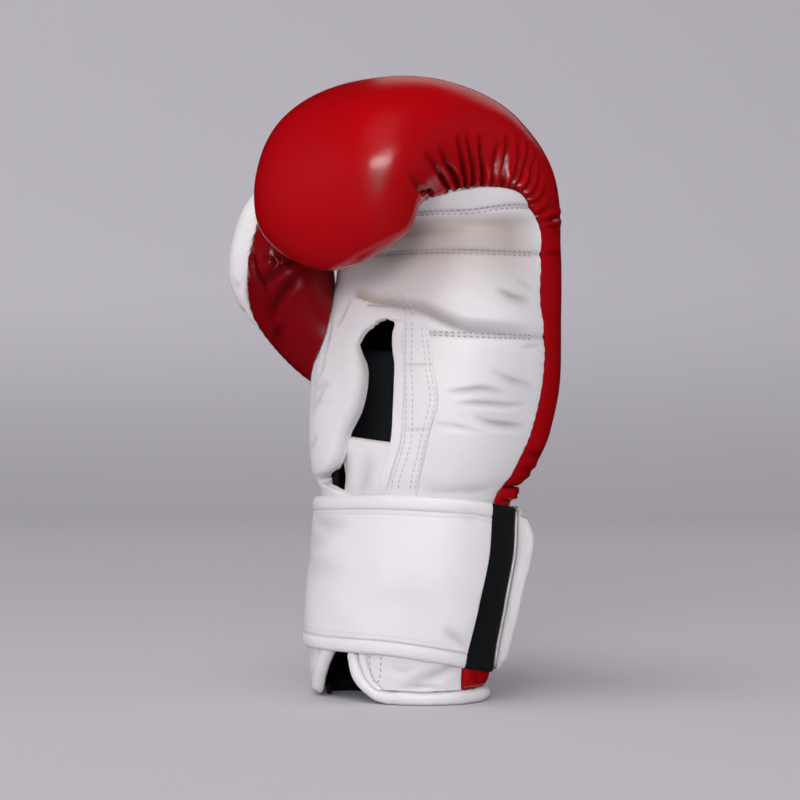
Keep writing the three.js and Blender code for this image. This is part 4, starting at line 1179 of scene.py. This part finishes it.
# %% Folds of the thumb
# Their places are (step along the thumb, angle)
RED_THUMB_FOLDS = [
    # width, depth, ridge, places
    (2.6, 2.0, 1.2, [(2.55, -60), (2.6, -40), (2.7, -15), (2.8, 15)]),
    (2.4, 1.6, 1.0, [(2.0, -80), (2.1, -50), (2.2, -25), (2.2, 10)]),
    (2.0, 0.9, 0.7, [(3.2, -50), (3.15, -30), (3.1, -8)]),
    (1.5, 1.6, 1.2, [(3.5, -70), (3.1, -56), (2.6, -48), (2.2, -50)]),
    (1.4, 1.2, 1.0, [(3.4, -36), (3.0, -30), (2.7, -34)]),
    (1.8, 0.9, 0.6, [(1.7, -110), (1.75, -80), (1.7, -50)]),
]
WHITE_THUMB_FOLDS = [
    (1.8, 0.6, 0.4, [(2.9, 250), (2.8, 262), (2.75, 276)]),
    (1.8, 0.6, 0.4, [(2.4, 215), (2.5, 235), (2.45, 252)]),
]
lay_folds(thumb_red, RED_THUMB_FOLDS)
lay_folds(thumb_white, WHITE_THUMB_FOLDS)

# %% Finished thumb
# The red face lies in the shade of the fist, so it is painted a deeper red, as shade
THUMB_SHADE = 0.8

cutter = hand_cutter()
for name, piece, leather_kind, slot, node in (
        ("thumb_red_face", thumb_red, red_leather, "red_leather", "thumb_inner"),
        ("thumb_white_face", thumb_white, white_leather, "white_leather", "thumb_outer")):
    inside = thumb_point(piece.path, piece.angle, THUMB["inner"](piece.path))
    points, faces = close_grids(piece.points, inside)
    shaded = THUMB_SHADE * np.ones_like(piece.painted_shade) if piece is thumb_red else None
    made = make_piece(name, points, faces, leather_kind, [node], piece.painted_shade, shaded)
    trim(made, cutter)
bpy.data.objects.remove(cutter)

# %% [markdown]
# ## Cuff
# The cuff is three flat pieces and a thick turned edge that the glove stands on. The flap at the front
# has a round corner, and beside it the cuff is open, so that the hand can go in: the black lining shows
# there. A flat sheet with a Solidify modifier would have sharp, even edges. These are grids with an
# outside and an inside that draw together at their edges, as turned leather does.

# %% Cuff pieces
ROLL = 3.4
ROLL_TOP = -217 + 2 * ROLL + 0.35
CUFF_OPENING = table("path thumb little", [
    (-217, -129, -60), (-214, -127, -69), (-211, -124, -77), (-207, -118, -83), (-201, -110, -87),
    (-192, -102, -90), (-130, -120, -80),
])
CUFF_GRID_ROWS = 72


def roll_angle(path):
    """The angle that the turned edge takes up beside the flap."""
    return seam_gap(path) * 2 * ROLL / SEAM_GAP


def cuff_piece(start, end, top, columns):
    """One flat piece of the cuff, between two angles, from the turned edge up."""
    return Leather(skin, np.linspace(ROLL_TOP, top, CUFF_GRID_ROWS), np.linspace(0, 1, columns), start, end)


cuff_red = cuff_piece(lambda p: SEAMS["little"](p) + seam_gap(p), lambda p: SEAMS["thumb"](p) - seam_gap(p),
                      FIST_BOTTOM - SEAM_GAP, 120)
cuff_flap = cuff_piece(lambda p: CUFF_OPENING["little"](p) + roll_angle(p) + seam_gap(p),
                       lambda p: SEAMS["little"](p) - seam_gap(p), CUFF_TOP - SEAM_GAP, 90)
cuff_thumb = cuff_piece(lambda p: SEAMS["thumb"](p) - 360 + seam_gap(p), lambda p: CUFF_OPENING["thumb"](p),
                        CUFF_TOP - SEAM_GAP, 80)

# %% Folds and puffs of the cuff
RED_CUFF_FOLDS = [
    # width, depth, ridge, places as (path, angle)
    (1.0, 0.9, 0.6, [(-122, 6), (-122.6, 16), (-121, 30)]),
    (0.9, 0.7, 0.5, [(-119, 22), (-120, 34), (-119.5, 52)]),
    (1.5, 0.6, 0.5, [(-200, -4), (-203, 4), (-207, 9)]),
]
FLAP_FOLDS = [
    (2.2, 0.8, 0.7, [(-208, -52), (-204, -36), (-200, -20), (-199, -10)]),
    (2.0, 0.7, 0.6, [(-203, -30), (-198, -18), (-196, -8)]),
    (1.6, 0.4, 0.3, [(-199, -60), (-201, -50), (-199, -42)]),
]
lay_folds(cuff_flap, FLAP_FOLDS)
cuff_thumb.fold([(-196, -140), (-203, -136), (-209, -134)], 1.8, 0.5, 0.5)
# Above the strap the red leather bulges out between the strap and the cross seam
bulge = hump(cuff_red.path, -120.6, 2.7) * ramp(cuff_red.from_start, 0, 8)
cuff_red.push(3.2 * bulge * ramp(cuff_red.from_end, 0, 8))
lay_folds(cuff_red, RED_CUFF_FOLDS)
cuff_red.push(1.3 * np.sin(np.pi * ramp(cuff_red.from_bottom, 0, 22))
              - 1.2 * fading(cuff_red.from_bottom, 1.5))

# The flap bulges over its turned edge and carries a rolled border round its corner
border = cuff_flap.from_start
cuff_flap.push(0.5 * hump(border, 2.2, 2.0) - 0.5 * hump(border, 5.0, 0.7),
               0.5 * hump(border, 5.0, 0.6))
cuff_flap.push(0.3 * hump(cuff_flap.from_bottom, 0, 5) * ramp(border, 0, 6))
cuff_flap.fold([(-209, -54), (-208, -44), (-207.4, -34), (-208, -26)], 1.0, 0.9, 0.5)

# The thumb side ends in a soft upright roll that reaches down to the floor
rim = cuff_thumb.from_end
cuff_thumb.push(1.6 * hump(rim, 4.5, 4.0) - 0.6 * hump(rim, 11, 1.5))
cuff_thumb.fold([(-190, -118), (-198, -119), (-205, -121)], 1.4, 0.8, 0.4)
low = ramp(cuff_thumb.from_bottom, 20, 0) ** 1.6
draw_down = 5.6 * low * ramp(rim, 24, 0) ** 0.7

# %% Finished cuff pieces
CUFF_EDGE = 1.7
CUFF_PARTS = (
    ("cuff_red_back", cuff_red, red_leather, "red_leather", "cuff_back"),
    ("cuff_white_flap", cuff_flap, white_leather, "white_leather", "cuff_palm"),
    ("cuff_thumb_piece", cuff_thumb, white_leather, "white_leather", "cuff_thumb_side"),
)
for name, piece, kind, slot, node in CUFF_PARTS:
    sides = ("start", "end", "bottom", "top") if piece is cuff_thumb else ("start", "end")
    inside = piece.soften(skin(piece.path, piece.angle, -CUFF_WALL), CUFF_EDGE, sides)
    if piece is cuff_thumb:
        piece.points[..., 2] -= draw_down
        inside[..., 2] -= draw_down
    points, faces = close_grids(piece.points, inside)
    make_piece(name, points, faces, kind, [node], piece.painted_shade)


# %% [markdown]
# ## Turned edge of the cuff
# The cuff's edge is leather turned round a thick cord of foam. A curve with a round bevel would be a
# perfect pipe. This one is a row of oval rings whose size waves a little, tapers to both ends and is
# flat where the glove stands on it.

# %% Turned edge of the cuff
def roll_piece(places, across, deep, sides, floor=-np.inf):
    """Rings of points along places of (point, normal), with their half width across and their depth."""
    centre = np.array([point for point, _ in places])
    normal = np.array([out for _, out in places])
    along = np.gradient(centre, axis=0)
    along /= np.linalg.norm(along, axis=1, keepdims=True)
    side = np.cross(along, normal)
    side /= np.linalg.norm(side, axis=1, keepdims=True)
    turn = 2 * np.pi * (np.arange(sides) + 0.5) / sides
    rings = (centre[:, None] + side[:, None] * across[:, None, None] * np.cos(turn)[None, :, None]
             + normal[:, None] * deep[:, None, None] * np.sin(turn)[None, :, None])
    rings[..., 2] = np.maximum(rings[..., 2], floor)
    return rings


def ring_faces(rows, sides):
    """The faces of a closed roll made of rings."""
    faces = [[i * sides + j, i * sides + (j + 1) % sides,
              (i + 1) * sides + (j + 1) % sides, (i + 1) * sides + j]
             for i in range(rows - 1) for j in range(sides)]
    faces.append(list(range(sides)))
    faces.append([(rows - 1) * sides + j for j in range(sides)])
    return faces


def skin_place(path, angle, depth):
    """A point over the skin, and its outward direction."""
    normal = skin(path, angle, 1.0) - skin(path, angle, 0.0)
    normal /= np.linalg.norm(normal)
    return skin(path, angle) + normal * depth, normal


BINDING_DEPTH = -1.6
ROLL_SIDES = 24
ROLL_ACROSS = 3.3
ROLL_DEEP = 3.1
FLOOR_Z = -ORIGIN[2]

places = [skin_place(p, CUFF_OPENING["little"](p) + roll_angle(p) / 2, BINDING_DEPTH)
          for p in np.linspace(-191, -212.4, 26)]
for angle in np.linspace(-62, 214, 240):
    point, normal = skin_place(-217 + ROLL, angle, BINDING_DEPTH)
    normal = normal * np.array([1, 1, 0])
    places.append((point, normal / np.linalg.norm(normal)))
count = len(places)
step = np.arange(count)
wave = 1 + 0.04 * np.sin(step * 0.55 + np.sin(step * 0.23)) + 0.03 * np.sin(step * 0.21)
ends = np.clip(np.minimum(step / 5, (count - 1 - step) / 14), 0.12, 1) ** 0.5
slimmer = 1 - 0.14 * ramp(step, 45, 0)
rings = roll_piece(places, ROLL_ACROSS * ends * wave * slimmer, ROLL_DEEP * ends * wave, ROLL_SIDES,
                   FLOOR_Z)
make_piece("cuff_turned_edge", rings.reshape(-1, 3), ring_faces(count, ROLL_SIDES), white_leather,
           ["cuff_binding"])

# %% [markdown]
# ## Strap
# The strap wraps the wrist: a wide white panel over the palm side, a black elastic at the little
# finger's side, and a padded white end that closes on the back. Its two hems are turned and sewn. It
# could be a flat band bent by a Shrinkwrap modifier, but that follows every fold under it. A real strap
# is stiffer than the cuff and bridges its dents, so it is laid a fixed gap over the plain form.

# %% Strap
# The strap's two edges, as heights over the floor, at each angle
STRAP_EDGES = table("angle bottom top", [
    (-200, 21, 93), (-143, 23, 94), (-70, 23.5, 96.5), (-25, 19.5, 95), (-4, 16.5, 93), (36, 13, 90),
    (170, 19, 91),
])
STRAP_GAP = 0.45
STRAP_THICK = 3.0
TAIL_BULGE = table("share out", [
    (0, 2.6), (0.06, 5), (0.2, 6.2), (0.55, 7.2), (0.8, 8.2), (0.92, 5.4), (1, 2.2),
])


def strap_height(share, angle):
    """The height over the floor at a share of the strap's width, from 0 at its lower edge to 1."""
    bottom, top = STRAP_EDGES["bottom"](angle), STRAP_EDGES["top"](angle)
    return bottom + (top - bottom) * share


def strap_form(base):
    """The band's surface at a base distance from the skin, with its share of the height as path."""
    def form(share, angle, depth=0.0):
        return skin(strap_height(share, angle) - HUB_Z, angle, base(share, angle) + depth)
    return form


def at_skin(share, angle):
    """The distance at which the strap's inside lies over the skin."""
    return STRAP_GAP


def elastic_start(share):
    """The slanted line where the white panel ends and the elastic starts."""
    return -9 + 6 * share


def edged(edge, edge_steps, middle_steps):
    """Shares from 0 to 1 that lie closer together near both edges."""
    return steps((0, edge, edge_steps), (edge, 1 - edge, middle_steps), (1 - edge, 1, edge_steps))


HEM = 6.6
STRAP_EDGE = 1.7
STRAP_START = -186

strap = Leather(strap_form(lambda v, a: STRAP_GAP + STRAP_THICK), edged(0.03, 7, 96), edged(0.012, 6, 300),
                lambda v: STRAP_START + 0 * v, lambda v: elastic_start(v) - 0.4)
for away in (strap.from_bottom, strap.from_top):
    line = hump(away, HEM, 0.55)
    second = hump(away, HEM + 2, 0.5)
    welt = hump(away, HEM + 1, 0.5)
    puff = hump(away, HEM / 2, 2.4)
    strap.push(0.4 * puff + 0.2 * welt - 0.5 * line - 0.22 * second, 0.45 * line + 0.15 * second)
strap.push(0.8 * np.sin(np.pi * strap.path) ** 0.8)
STRAP_DENTS = [
    # width, depth, ridge, places as share of the height and angle
    (4.2, 0.6, 0.3, [(0.87, -132), (0.83, -120), (0.80, -106), (0.82, -92)]),
    (5.0, 0.45, 0.2, [(0.72, -140), (0.70, -122), (0.72, -104)]),
    (2.2, 0.5, 0.35, [(0.22, -32), (0.17, -23), (0.13, -14)]),
    (1.8, 0.45, 0.3, [(0.18, -26), (0.145, -18), (0.125, -11)]),
    (6.0, 0.4, 0.0, [(0.62, -150), (0.55, -120), (0.52, -90)]),
    (6.0, 0.2, 0.1, [(0.35, -80), (0.38, -55), (0.36, -30)]),
    (2.6, 0.4, 0.3, [(0.92, -30), (0.89, -22), (0.90, -14)]),
]
lay_folds(strap, STRAP_DENTS)
inside = strap.soften(strap_form(at_skin)(strap.path, strap.angle), STRAP_EDGE,
                      ("start", "end", "bottom", "top"))
points, faces = close_grids(strap.points, inside)
make_piece("strap_white_panel", points, faces, white_leather, ["strap_panel"],
           strap.painted_shade)

# %% Elastic
# Its upright ribs are real relief, drawn 1.5 mm apart. It is a millimetre thinner than the panel.
RIB_MM = 1.5
RIB_HEIGHT = 0.07
ELASTIC_OUT = STRAP_GAP + STRAP_THICK - 1
ELASTIC_END = 40

elastic = Leather(strap_form(lambda v, a: ELASTIC_OUT), edged(0.02, 5, 90), edged(0.02, 4, 170),
                  elastic_start, lambda v: ELASTIC_END + 0 * v)
elastic.push(RIB_HEIGHT * np.cos(2 * np.pi * elastic.from_start / RIB_MM)
             - 0.3 * np.sin(np.pi * elastic.path))
inside = elastic.soften(strap_form(at_skin)(elastic.path, elastic.angle), 1.1, ("bottom", "top", "start"))
points, faces = close_grids(elastic.points, inside)
make_piece("strap_black_elastic", points, faces, ribbed_elastic, ["strap_elastic"])

# %% Padded end
TAIL_OVER = 3 * STRAP_GAP + STRAP_THICK - 1


def tail_base(share, angle):
    """The padded end's inside: it lies over the elastic and then comes down to the skin."""
    return TAIL_OVER - (TAIL_OVER - STRAP_GAP) * smooth_step(ramp(angle, 42, 56))


STRAP_WIDTH = 74
CORNER_RADIUS = 13
CORNER_ANGLE = 9
TAIL_START, TAIL_END = 34, 162


def round_corner(share):
    """How far the padded end's upright edges draw back near its corners, from 0 to 1."""
    near = ramp(np.minimum(share, 1 - share) * STRAP_WIDTH, CORNER_RADIUS, 0)
    return 1 - np.sqrt(1 - 0.98 * near**2)


tail = Leather(strap_form(lambda v, a: tail_base(v, a) + TAIL_BULGE["out"](v)), edged(0.08, 14, 80),
               edged(0.04, 12, 170), lambda v: TAIL_START + CORNER_ANGLE * round_corner(v),
               lambda v: TAIL_END - CORNER_ANGLE * round_corner(v))
for away in (tail.from_end, tail.from_bottom, tail.from_top):
    tail.push(-0.8 * hump(away, HEM, 0.9), 0.5 * hump(away, HEM, 0.8))
tail.fold([(0.75, 60), (0.7, 90), (0.72, 118)], 5.0, 0.4, 0.2)
tail.fold([(0.3, 56), (0.34, 80), (0.3, 104)], 5.0, 0.35, 0.2)
inside = tail.soften(strap_form(tail_base)(tail.path, tail.angle), 3.3, ("start", "end"))
inside = tail.soften(inside, 1.6, ("bottom", "top"))
points, faces = close_grids(tail.points, inside)
make_piece("strap_padded_end", points, faces, white_leather, ["strap_tail"],
           tail.painted_shade)

# %% Piping of the padded end
# A thin cord of leather lies on the elastic, in the corner under the padded end
PIPING_RADIUS = 0.62
PIPING_RINGS = 70
PIPING_SIDES = 10
PIPING_SINK = 0.3

piping = []
for share in np.linspace(0.03, 0.97, PIPING_RINGS):
    angle = TAIL_START - 0.8 + CORNER_ANGLE * float(round_corner(share))
    lift = ELASTIC_OUT + 0.76 - PIPING_SINK * math.sin(math.pi * share)
    piping.append(skin_place(strap_height(share, angle) - HUB_Z, angle, lift))
ring = np.arange(PIPING_RINGS)
thin = PIPING_RADIUS * np.clip(np.minimum(ring, PIPING_RINGS - 1 - ring) / 4, 0.2, 1) ** 0.5
rings = roll_piece(piping, thin, thin, PIPING_SIDES)
make_piece("strap_end_piping", rings.reshape(-1, 3), ring_faces(PIPING_RINGS, PIPING_SIDES), white_leather)

# %% [markdown]
# ## Inside: tongue and lining
# Through the slit one sees the black cloth lining and, below it, the top of the white padded tongue
# that covers the wrist under the strap. Both lie on the inside form of the glove. The real lining is
# glued and sewn to the padding all over, so it is laid as a grid too, and not draped by a simulation.

# %% Tongue
LINING_GAP = 1.7
TONGUE_PUSH = 2.0
TONGUE_THICK = 3.0
TONGUE_LEAN = 4.0


def hollow_form(path, angle, depth):
    """The inside of the glove, a little inside the padding."""
    return surface(HOLLOW, path, angle, depth - LINING_GAP)


tongue = Leather(hollow_form, np.linspace(-162, -94, 80), np.linspace(0, 1, 70),
                 lambda p: -122 + 6 * ramp(p, -100, -113),
                 lambda p: -62 + 0 * p)
tongue.push(TONGUE_PUSH * np.sin(np.pi * tongue.shares[None, :]) ** 1.3 * np.ones_like(tongue.path))
tongue.fold([(-98, -112), (-110, -114), (-124, -116)], 5.0, 0.9, 0.4)
tongue.fold([(-99, -88), (-112, -90), (-124, -94)], 4.0, 0.6, 0.3)
inside = tongue.soften(hollow_form(tongue.path, tongue.angle, -TONGUE_THICK), 2.6,
                       ("start", "end", "bottom", "top"))
# Its top slants down towards the little finger
slope = TONGUE_LEAN * (tongue.shares[None, :] - 0.2) * ramp(tongue.path, -130, -96)
tongue.points[..., 2] -= slope
inside[..., 2] -= slope
points, faces = close_grids(tongue.points, inside)
make_piece("tongue_pad", points, faces, white_leather, ["tongue"], tongue.painted_shade)

# %% Lining
SHADE_COVER_DEPTH = 22
LINING_THICK = 1.5
LINING_PITCH = 160

lining = Leather(hollow_form, np.linspace(-216.6, -26, LINING_PITCH), np.linspace(0, 1, LINING_PITCH),
                 lambda p: -60 + 0 * p, lambda p: 232 + 0 * p)
slow = 0.35 * np.sin(lining.path / 9 + 2 * np.radians(lining.angle)) * np.sin(np.radians(3 * lining.angle))
# At the cuff the cloth turns in and closes the glove's mouth down to the wrist's width: a dark cover
# put over the floor inside the glove, where there is only shade
shade_cover = ramp(lining.path, -213.5, -216.6)
shade_cover = shade_cover * ramp(lining.angle, -40, -10) * ramp(lining.angle, 212, 182)
lining.push(-0.35 + slow - SHADE_COVER_DEPTH * shade_cover)
# Above the band that is lit through the slit, and low towards the cuff, the lining is painted near black, as
# the shade deep inside the glove
lining_shade = ramp(lining.path, -53.5, -52.7) + ramp(lining.path, -106, -114)
inside = hollow_form(lining.path, lining.angle, -LINING_THICK - SHADE_COVER_DEPTH * shade_cover)
points, faces = close_grids(lining.points, inside)
lining_piece = make_piece("lining_cloth", points, faces, black_lining, ["hand_lining"],
                          painted_shade=np.stack([lining_shade, lining_shade]))


# %% [markdown]
# ## Edge strip and stitched facing beside the slit
# The slit's outer edge is bound with a narrow turned strip, and a facing next to it is held by rows of
# stitches. They could be painted on the palm, but their edges catch light and throw a thin shade. So
# each is a strip of its own that lies on the palm, and thins where it runs under the strap.

# %% Edge strip and facing
STRIP_SEAT = 0.08
LEAST_HEIGHT = 0.35


def beside_slit(z_values, left_x, right_x, height, columns):
    """A strip of leather on the palm between two X lines."""
    paths = z_values - HUB_Z
    left_side, right_side = palm_angle(paths, left_x), palm_angle(paths, right_x)
    return Leather(lambda p, a, d: skin(p, a, d) + outward_of(p, a) * height(p), paths,
                   edged(0.08, 5, columns), lambda p: np.interp(p, paths, left_side),
                   lambda p: np.interp(p, paths, right_side))


def outward_of(path, angle):
    """The skin's outward directions."""
    out = skin(path, angle, 1.0) - skin(path, angle, 0.0)
    return out / np.linalg.norm(out, axis=-1, keepdims=True)


def strip_height(top):
    """A strip's height, which sinks to almost nothing where it passes under the strap."""
    return lambda p: (LEAST_HEIGHT + (top - LEAST_HEIGHT) * ramp(p, -120.5, -115.5)
                      * np.clip((178 - HUB_Z - p) / 12, 0, 1))[..., None]


def finish_strip(name, strip, edge, meet, node):
    """Gives a strip its underside, just over the palm, and makes it a piece."""
    under = skin(strip.path, strip.angle) + outward_of(strip.path, strip.angle) * STRIP_SEAT
    inside = strip.soften(under, edge, ("start", "end", "top"), meet)
    points, faces = close_grids(strip.points, inside)
    make_piece(name, points, faces, white_leather, [node], strip.painted_shade)


EDGE_STRIP_WIDTH = 5.6
strip_z = np.linspace(94.5, 177.5, 90)
edge_x = SLIT["right"](strip_z)
edge_strip = beside_slit(strip_z, edge_x, edge_x + EDGE_STRIP_WIDTH, strip_height(1.15), 24)
edge_strip.push(0.3 * hump(edge_strip.from_start, 2.0, 1.8)
                - 0.35 * ramp(edge_strip.from_start, 0, 6))
finish_strip("slit_edge_strip", edge_strip, 1.0, 0.8, "slit_binding")

# %% Facing with its two cross seams
CROSS_SEAMS_Z = (156.5, 127.0)
FACING = table("z left right", [
    (90, 17, 29), (101.7, 19.5, 33), (111, 23.5, 36.3), (122, 26.8, 39.1), (129, 27.4, 40.7),
    (141, 27.2, 43.3), (154, 25.6, 40.6), (163.3, 24.6, 38.7), (170, 24, 37), (179, 23, 35.5),
])
facing_z = np.linspace(94.5, 178.5, 90)
facing = beside_slit(facing_z, FACING["left"](facing_z), FACING["right"](facing_z), strip_height(0.8), 34)
dent = 0.25 * sum(hump(facing.path + HUB_Z, seam_z, 0.8) for seam_z in CROSS_SEAMS_Z)
facing.push(-dent, dent)
finish_strip("palm_facing_strip", facing, 1.3, 0.85, "palm_facing")

# %% [markdown]
# ## Stitches on the palm and the cuff
# Each channel of the palm has a row of stitches on both sides. A channel runs level in space, and the
# grid's own lines don't, so each stitch row is moved up or down a few times until it lies level too.

# %% Stitches of the palm's channels
THREAD_GAP = 0.85
LEVELLING_ROUNDS = 4
CHANNEL_STARTS = (-60.0, -112.0, -84.0)


def path_at_height(z, angle):
    """The path value at which the palm reaches a height, at each angle."""
    tries = np.linspace(-60, 85, 581)
    heights = skin(tries[None, :], np.asarray(angle)[:, None])[..., 2]
    return np.array([np.interp(v, row, tries) for v, row in zip(z, heights)])


rows = []
for channel, first_angle in zip(CHANNELS, CHANNEL_STARTS):
    for shift in (-THREAD_GAP, THREAD_GAP):
        seam_angle = np.linspace(first_angle, 0, 80)
        seam_z = channel[0] + 0 * seam_angle
        for _ in range(LEVELLING_ROUNDS):
            seam_path = path_at_height(seam_z, seam_angle)
            placed = palm.place(seam_path, seam_angle)[0]
            seam_z = seam_z + channel_height(channel, placed[:, 0]) + shift - placed[:, 2]
        on_palm = seam_angle < SEAMS["little"](seam_path) - 1.5
        rows.append(palm.place(seam_path[on_palm], seam_angle[on_palm]))
stitch_rows("palm_stitches", rows, shaded_thread)

# %% Stitches of the facing
# Two rows run round the top of the slit, given by their X and Z
ROUND_SLIT = (
    ((-2, 1.4, 5, 8.8, 12.4, 15.5, 18.4, 20.7, 22.5, 23.7),
     (192.3, 192.2, 191.8, 191, 189.8, 188, 186, 183.7, 181, 178.1)),
    ((-1, 2.4, 6.4, 10.4, 14.5, 18.2, 21.4, 24, 25.9, 27.1),
     (195.2, 195, 194.3, 193.3, 192, 190.3, 188, 185, 182, 179)),
)


def facing_row(z_line, x_line):
    """A row of stitches on the facing, along heights and X values."""
    paths = z_line - HUB_Z
    return facing.place(paths, palm_angle(paths, x_line))


rows = []
facing_rows = facing_z[5:-2]
for edge, inset in (("left", 1.1), ("left", 4.4), ("right", -1.2), ("right", -3.4)):
    rows.append(facing_row(facing_rows, FACING[edge](facing_rows) + inset))
for seam_z in CROSS_SEAMS_Z:
    x_line = np.linspace(FACING["left"](seam_z) + 2, FACING["right"](seam_z) - 4, 8)
    rows.append(facing_row(0 * x_line + seam_z, x_line))
for x_line, z_line in ROUND_SLIT:
    rows.append(palm.front(x_line, z_line))
stitch_rows("facing_stitches", rows, pale_thread, radius=FINE_THREAD_RADIUS)

# %% Stitches of the flap
# A loop of stitches holds the flap's stiffener
loop_z = (26, 22, 18, 14, 11.6, 10.4, 10.4, 11.6, 14, 18, 22, 26)
loop_x = (10.2, 10.4, 10.6, 10.9, 11.6, 12.8, 14.2, 15.2, 15.8, 16, 16.2, 16.4)
share = np.linspace(0, len(loop_z) - 1, 60)
loop_path = np.interp(share, np.arange(len(loop_z)), loop_z) - HUB_Z
loop_angle = palm_angle(loop_path, np.interp(share, np.arange(len(loop_x)), loop_x))
stitch_rows("cuff_stitches", [cuff_flap.place(loop_path, loop_angle)], shaded_thread,
            radius=FINE_THREAD_RADIUS)

# %% [markdown]
# Padding may stand a little proud of the solids, but the glove keeps its size. A ruler on the screen
# would miss what lies behind, so the box of all shown pieces is printed.

# %% Write the sizes and finish
low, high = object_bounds()
print("visual box in metres:", [round(v, 4) for v in (*low, *high)])
